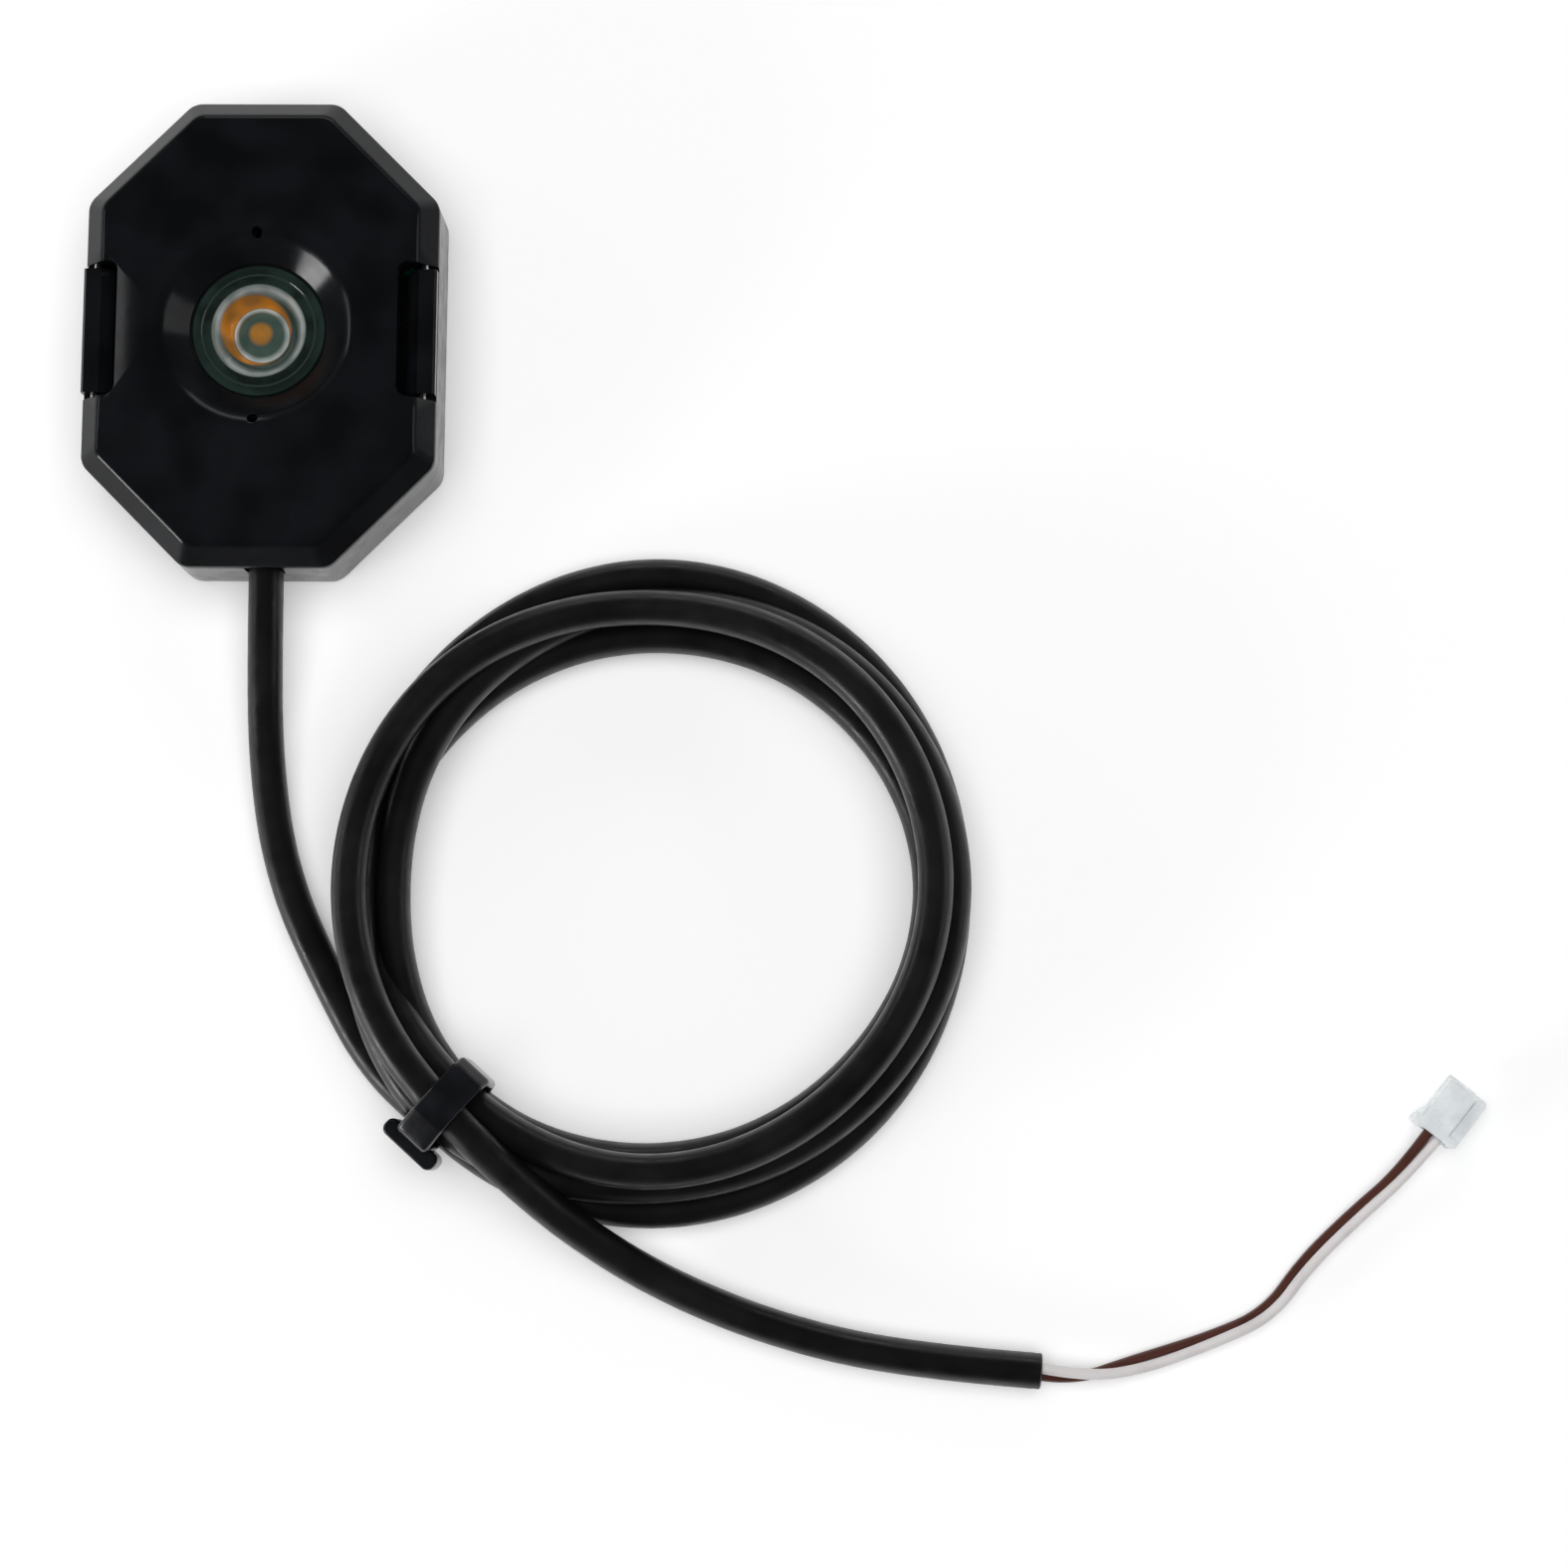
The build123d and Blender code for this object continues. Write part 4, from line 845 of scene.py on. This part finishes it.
class OBJECT_OT_head_tie(bpy.types.Operator):
    """Cable tie round the coil: band, head and the stub of its tail"""
    bl_idname = "object.head_tie"
    bl_label = "Cable tie"

    def execute(self, context):
        outward = Vector((cos(TIE_ANGLE), sin(TIE_ANGLE), 0))
        along = Vector((outward.y, -outward.x, 0))
        up = Vector((0, 0, 1))
        outline = [(-3.5, 0.55), (3.7, 0.55), (5.4, 4.0), (5.75, 9.4), (5.4, 11.3), (2.4, 13.0), (-0.5, 13.4),
                   (-4.0, 12.8), (-5.2, 11.2), (-5.2, 4.0)]
        centre_line = rounded_loop([Vector(corner) for corner in outline], 0.9, 0, 5, 4)
        count = len(centre_line)
        section = rounded_loop([Vector((0, -BAND_HALF)), Vector((BAND_THICKNESS, -BAND_HALF)),
                                Vector((BAND_THICKNESS, BAND_HALF)), Vector((0, BAND_HALF))], 0.42, 0, 4, 4)
        rings = []
        for i, point in enumerate(centre_line):
            ahead = (centre_line[(i + 1) % count] - centre_line[i - 1]).normalized()
            inward = Vector((-ahead.y, ahead.x))
            rings.append([TIE_PLACE + outward * (point.x + inward.x * s.x) + up * (point.y + inward.y * s.x)
                          + along * s.y for s in section])
        band = put("tie_band", join_rings(rings, True, "tie_band"))
        smooth(band, 40)
        head = soften_edges(tie_block("tie_head", (4.9, -3.65, 3.5), (7.0, 3.65, 8.8), 0.9, 6, 3), 0.4, 3)
        stub = soften_edges(tie_block("tie_stub", (5.5, -2.0, 1.6), (6.5, 2.0, 3.9), 0.3, 4, 2), 0.12, 2)
        tooth = TIE_PLACE + outward * 6.5 + up * 1.9
        grow(stub, row_of_ridges(), start=tuple(tooth * MM), step=(0, 0, 0.45 * MM), ridges=4,
             ridge_size=(0.22 * MM, 3.4 * MM, 0.16 * MM), turn=(0, 0, TIE_ANGLE), finish=FINISHES["tie_nylon"])
        dress(band, FINISHES["tie_nylon"], "tie_nylon", HOUSING, "cable_tie")
        dress(head, FINISHES["tie_nylon"], "tie_nylon")
        dress(stub, FINISHES["tie_nylon"], "tie_nylon")
        return {"FINISHED"}


def slope(low, high, corner, angle, axis):
    """Block turned about one axis and moved to a corner, to cut a slope."""
    made = block(low, high, "slope")
    made.data.transform(Matrix.Translation(Vector(corner) * MM) @ Matrix.Rotation(radians(angle), 4, axis))
    return made


class OBJECT_OT_head_connector(bpy.types.Operator):
    """Two-way connector: milky housing with a side step, a flare, a sloping mating end and its contacts"""
    bl_idname = "object.head_connector"
    bl_label = "Connector"

    def execute(self, context):
        forward = Vector((cos(PLUG_ANGLE), sin(PLUG_ANGLE), 0))
        across = Vector((-sin(PLUG_ANGLE), cos(PLUG_ANGLE), 0))
        face = Vector((*PLUG_PLACE, 0)) - forward * PLUG_HALF
        shell = block((-2.45, 0, 0), (3.1, 0.9, 3.95), "connector_shell", 0.4)
        for low, high in (((-1.1, 0.4, 0.1), (2.45, 7.0, 3.95)), ((-2.6, 0.3, 0.3), (-1.0, 6.8, 3.4))):
            cut(shell, block(low, high), "UNION")
        flare = block((1.5, 0.2, 0.3), (3.1, 2.6, 3.6), "flare")
        cut(flare, slope((0, -1, -1), (4, 6, 7), (3.1, 0.9, 0), 21, "Z"))
        cut(shell, flare, "UNION")
        for side in (-1, 1):
            middle = side * CAVITY_PLACE
            cut(shell, block((middle - CAVITY_HALF, -1, 1.35), (middle + CAVITY_HALF, 5.2, 2.85)))
        cut(shell, block((-1.35, 0.9, 3.22), (-1.1, 7.5, 5)))
        cut(shell, slope((-6, 0, -1), (6, 6, 7), (0, 7.0, 0), 17, "X"))
        cut(shell, block((0.55, 5.75, 1.9), (1.4, 8, 2.9)))
        turned = Matrix((across, forward, Vector((0, 0, 1)))).transposed().to_4x4()
        shell.data.transform(Matrix.Translation(face * MM) @ turned)
        if turned.determinant() < 0:
            shell.data.flip_normals()
        soften_edges(shell, 0.16, 3)
        dress(shell, FINISHES["connector_nylon"], "connector_nylon", HOUSING, "connector_housing")
        finish_node("connector_terminals", FINISHES["terminal_tin"])
        return {"FINISHED"}


class OBJECT_OT_head_cover(bpy.types.Operator):
    """Front cover: skirt, bevel, faceted crown, recess and latch notches"""
    bl_idname = "object.head_cover"
    bl_label = "Front cover"

    def execute(self, context):
        head = context.scene.optical_head
        low, high = COVER_LOW.z, COVER_HIGH.z
        bevel_low = low + SKIRT_HEIGHT
        bevel_high = bevel_low + BEVEL_HEIGHT
        lens_top = LENS_HIGH.z
        keys = [(head_loop(0, low), 0.12), (head_loop(0, bevel_low), 0.18), (head_loop(BEVEL_WIDTH, bevel_high),
                head.crease), (circle_loop(RECESS_RADIUS, high + 0.02), head.rim),
                (circle_loop(LENS_OPENING, lens_top + LIP_HALF), 0.1), (circle_loop(LENS_OPENING, low), 0)]
        inner = RECESS_RADIUS - RECESS_ROUND
        shell = put("cover_shell", join_rings(soft_rings(keys, 6), True, "cover_shell"))
        hollow = [circle_loop(LIP_RADIUS, lens_top - LIP_HALF), circle_loop(RECESS_RADIUS + 0.1, high - WALL_FALL),
                  head_loop(BEVEL_WIDTH + 1.4, bevel_high - WALL_FALL), head_loop(WALL, low),
                  head_loop(WALL, low - 1), circle_loop(inner - 4, low - 1),
                  circle_loop(inner - 4, lens_top - LIP_HALF)]
        cavity = put("cavity", join_rings(hollow, True, "cavity"))
        half = NOTCH_LENGTH / 2
        for side in (-1, 1):
            edge = side * (COVER_HIGH.x - NOTCH_DEPTH)
            near, far = sorted((edge - side * 1.2, side * (COVER_HIGH.x + 3)))
            cut(cavity, block((near, -half - 1.2, low - 2), (far, half + 1.2, high + 1)))
        cut(shell, cavity)
        for side in (-1, 1):
            edge = side * (COVER_HIGH.x - NOTCH_DEPTH)
            near, far = sorted((edge, side * (COVER_HIGH.x + 3)))
            cut(shell, block((near, -half, low - 1), (far, half, high + 1), "notch", NOTCH_ROUND))
            hole = [(0, high - 2.5), (PIN_HOLE_RADIUS, high - 2.5), (PIN_HOLE_RADIUS, high + 1), (0, high + 1)]
            cut(shell, put("hole", lathe(hole, 24, "hole", (0, side * PIN_HOLE_Y))))
        soften_edges(shell, head.edge, 2, 55, False)
        dress(shell, FINISHES["cover_shell"], "cover_shell", HOUSING, "front_cover")
        return {"FINISHED"}


class OBJECT_OT_head_case(bpy.types.Operator):
    """Rear case, its gasket and the seal under the cover's lip"""
    bl_idname = "object.head_case"
    bl_label = "Rear case"

    def execute(self, context):
        case = soften_edges(cad_copy("rear_case", "case_tray"), context.scene.optical_head.edge, 2)
        dress(case, FINISHES["case_shell"], "case_shell", HOUSING, "rear_case")
        for name in ("case_seal", "lens_seal"):
            finish_node(name, FINISHES["seal_rubber"])
        return {"FINISHED"}


class OBJECT_OT_head_latches(bpy.types.Operator):
    """Two side latches with softened edges, and their pins"""
    bl_idname = "object.head_latches"
    bl_label = "Latches"

    def execute(self, context):
        for word in ("left", "right"):
            bar = soften_edges(cad_copy("latch_" + word, f"latch_bar_{word}"), 0.12, 3, 30)
            dress(bar, FINISHES["latch_plastic"], "latch_plastic", "latch_" + word, "latch_" + word)
            finish_node("latch_pin_" + word, FINISHES["pin_steel"])
        return {"FINISHED"}


class OBJECT_OT_head_lens(bpy.types.Operator):
    """Collimator lens: flange with a fine ring, steep well and domed core over a bowl-shaped back"""
    bl_idname = "object.head_lens"
    bl_label = "Lens"

    def execute(self, context):
        top, foot = LENS_HIGH.z, LENS_LOW.z
        rim = LENS_HIGH.x
        floor, flange = top - 2.4, top - 0.8
        core, crown, throat, focal = 3.05, 1.0, 2.6, 1.404
        pocket, pocket_depth = 1.7, 2.0
        profile = [(core * i / 10, floor + crown * (1 - (i / 10) ** 2.2)) for i in range(11)]
        profile += [(core + 0.3, floor - 0.02), (core + 0.55, floor + 0.12), (5.05, top - 0.25), (5.2, top - 0.05),
                    (5.35, top), (6.35, top), (6.42, top - 0.07), (6.5, top), (rim - 0.12, top), (rim, top - 0.12),
                    (rim, flange + 0.05), (rim - 0.05, flange)]
        apex = foot - throat ** 2 / (4 * focal)
        for i in range(19):
            height = flange + (foot - flange) * i / 18
            profile.append(((4 * focal * (height - apex)) ** 0.5, height))
        profile += [(pocket, foot), (pocket, foot + pocket_depth - 0.3), (pocket - 0.25, foot + pocket_depth),
                    (0, foot + pocket_depth)]
        lens = smooth(put("collimator", lathe(profile, 128, "collimator")), 30)
        dress(lens, FINISHES["lens_acrylic"], "lens_acrylic", HOUSING, "collimator_lens")
        finish_node("lens_holder", FINISHES["holder_plastic"])
        return {"FINISHED"}


class OBJECT_OT_head_emitter(bpy.types.Operator):
    """Emitter under the lens: ceramic package, phosphor and silicone dome"""
    bl_idname = "object.head_emitter"
    bl_label = "Emitter"

    def execute(self, context):
        radius = DOME_HIGH.x
        foot = DOME_LOW.z
        profile = [(radius * sin(pi / 2 * i / 14), foot + (DOME_HIGH.z - foot) * cos(pi / 2 * i / 14))
                   for i in range(15)] + [(0, foot)]
        dome = smooth(put("dome_shell", lathe(profile, 64, "dome_shell")), 40)
        dress(dome, FINISHES["dome_silicone"], "dome_silicone", HOUSING, "emitter_dome")
        finish_node("emitter_package", FINISHES["package_ceramic"])
        finish_node("emitter_phosphor", FINISHES["phosphor"])
        return {"FINISHED"}


class OBJECT_OT_head_board(bpy.types.Operator):
    """Circuit board, what stands on it and what cools it"""
    bl_idname = "object.head_board"
    bl_label = "Board"

    def execute(self, context):
        finishes = {"circuit_board": "board_laminate", "heat_spreader": "spreader_aluminium",
                    "thermal_pad": "pad_silicone", "inductor": "ferrite", "driver_chip": "chip_epoxy",
                    "capacitors": "capacitor_ceramic", "resistors": "capacitor_ceramic", "solder_joints": "solder",
                    "board_screws": "screw_steel", "clamp_screws": "screw_steel", "cable_clamp": "holder_plastic",
                    "cable_grommet": "seal_rubber"}
        for name, slot in finishes.items():
            finish_node(name, FINISHES[slot])
        return {"FINISHED"}


class OBJECT_OT_head_inserts(bpy.types.Operator):
    """Knurled brass inserts in the rear face"""
    bl_idname = "object.head_inserts"
    bl_label = "Inserts"

    def execute(self, context):
        height = INSERT_HIGH.z
        outer, bore, knurl_rise = 2.0, 1.25, 0.1
        spacing = INSERT_HIGH.x - outer - knurl_rise
        knurl = ring_of_ridges()
        parts = []
        for side in (-1, 1):
            profile = [(bore + 0.2, 0.0), (outer - 0.15, 0.0), (outer, 0.15), (outer, height - 0.4),
                       (outer - 0.25, height), (bore + 0.1, height), (bore, height - 0.15)]
            for turn in range(8):
                z = height - 0.4 - turn * 0.4
                profile += [(bore, z), (bore + 0.14, z - 0.2)]
            profile.append((bore, 0.15))
            body = smooth(put("insert", lathe(profile, 48, "insert", (side * spacing, 0))), 30)
            grow(body, knurl, centre=(side * spacing * MM, 0, 1.9 * MM), radius=outer * MM, ridges=28,
                 ridge_size=(0.18 * MM, 0.2 * MM, 3.0 * MM), finish=FINISHES["insert_brass"])
            parts.append(body)
        mesh = bmesh.new()
        for body in parts:
            mesh.from_mesh(body.data)
            bpy.data.objects.remove(body)
        pair = smooth(put("insert_pair", mesh_data(mesh, "insert_pair")), 30)
        dress(pair, FINISHES["insert_brass"], "insert_brass", HOUSING, "mount_inserts")
        return {"FINISHED"}


OPERATORS = [OBJECT_OT_head_stage, OBJECT_OT_head_connector, OBJECT_OT_head_cord, OBJECT_OT_head_cores,
             OBJECT_OT_head_tie, OBJECT_OT_head_cover, OBJECT_OT_head_case, OBJECT_OT_head_latches,
             OBJECT_OT_head_lens, OBJECT_OT_head_emitter, OBJECT_OT_head_board, OBJECT_OT_head_inserts]


class VIEW3D_PT_optical_head(bpy.types.Panel):
    """Lists the settings and the pieces"""
    bl_label = "Optical head"
    bl_idname = "VIEW3D_PT_optical_head"
    bl_space_type = "VIEW_3D"
    bl_region_type = "UI"
    bl_category = "Optical head"

    def draw(self, context):
        column = self.layout.column()
        for group in (context.scene.optical_head, context.scene.lead_set, context.scene.studio_set):
            for name in group.bl_rna.properties.keys():
                if name not in ("rna_type", "name"):
                    column.prop(group, name)
        for operator in OPERATORS:
            column.operator(operator.bl_idname)


GROUPS = {"optical_head": HeadSettings, "lead_set": LeadSettings, "studio_set": StudioSettings}


def register():
    for group in GROUPS.values():
        bpy.utils.register_class(group)
    for name, group in GROUPS.items():
        setattr(bpy.types.Scene, name, bpy.props.PointerProperty(type=group))
    for operator in OPERATORS:
        bpy.utils.register_class(operator)
    bpy.utils.register_class(VIEW3D_PT_optical_head)


def unregister():
    bpy.utils.unregister_class(VIEW3D_PT_optical_head)
    for operator in reversed(OPERATORS):
        bpy.utils.unregister_class(operator)
    for name, group in GROUPS.items():
        delattr(bpy.types.Scene, name)
        bpy.utils.unregister_class(group)


def main():
    register()
    FINISHES.update(make_materials())
    for operator in OPERATORS:
        group, name = operator.bl_idname.split(".")
        getattr(getattr(bpy.ops, group), name)()


if __name__ == "__main__":
    main()
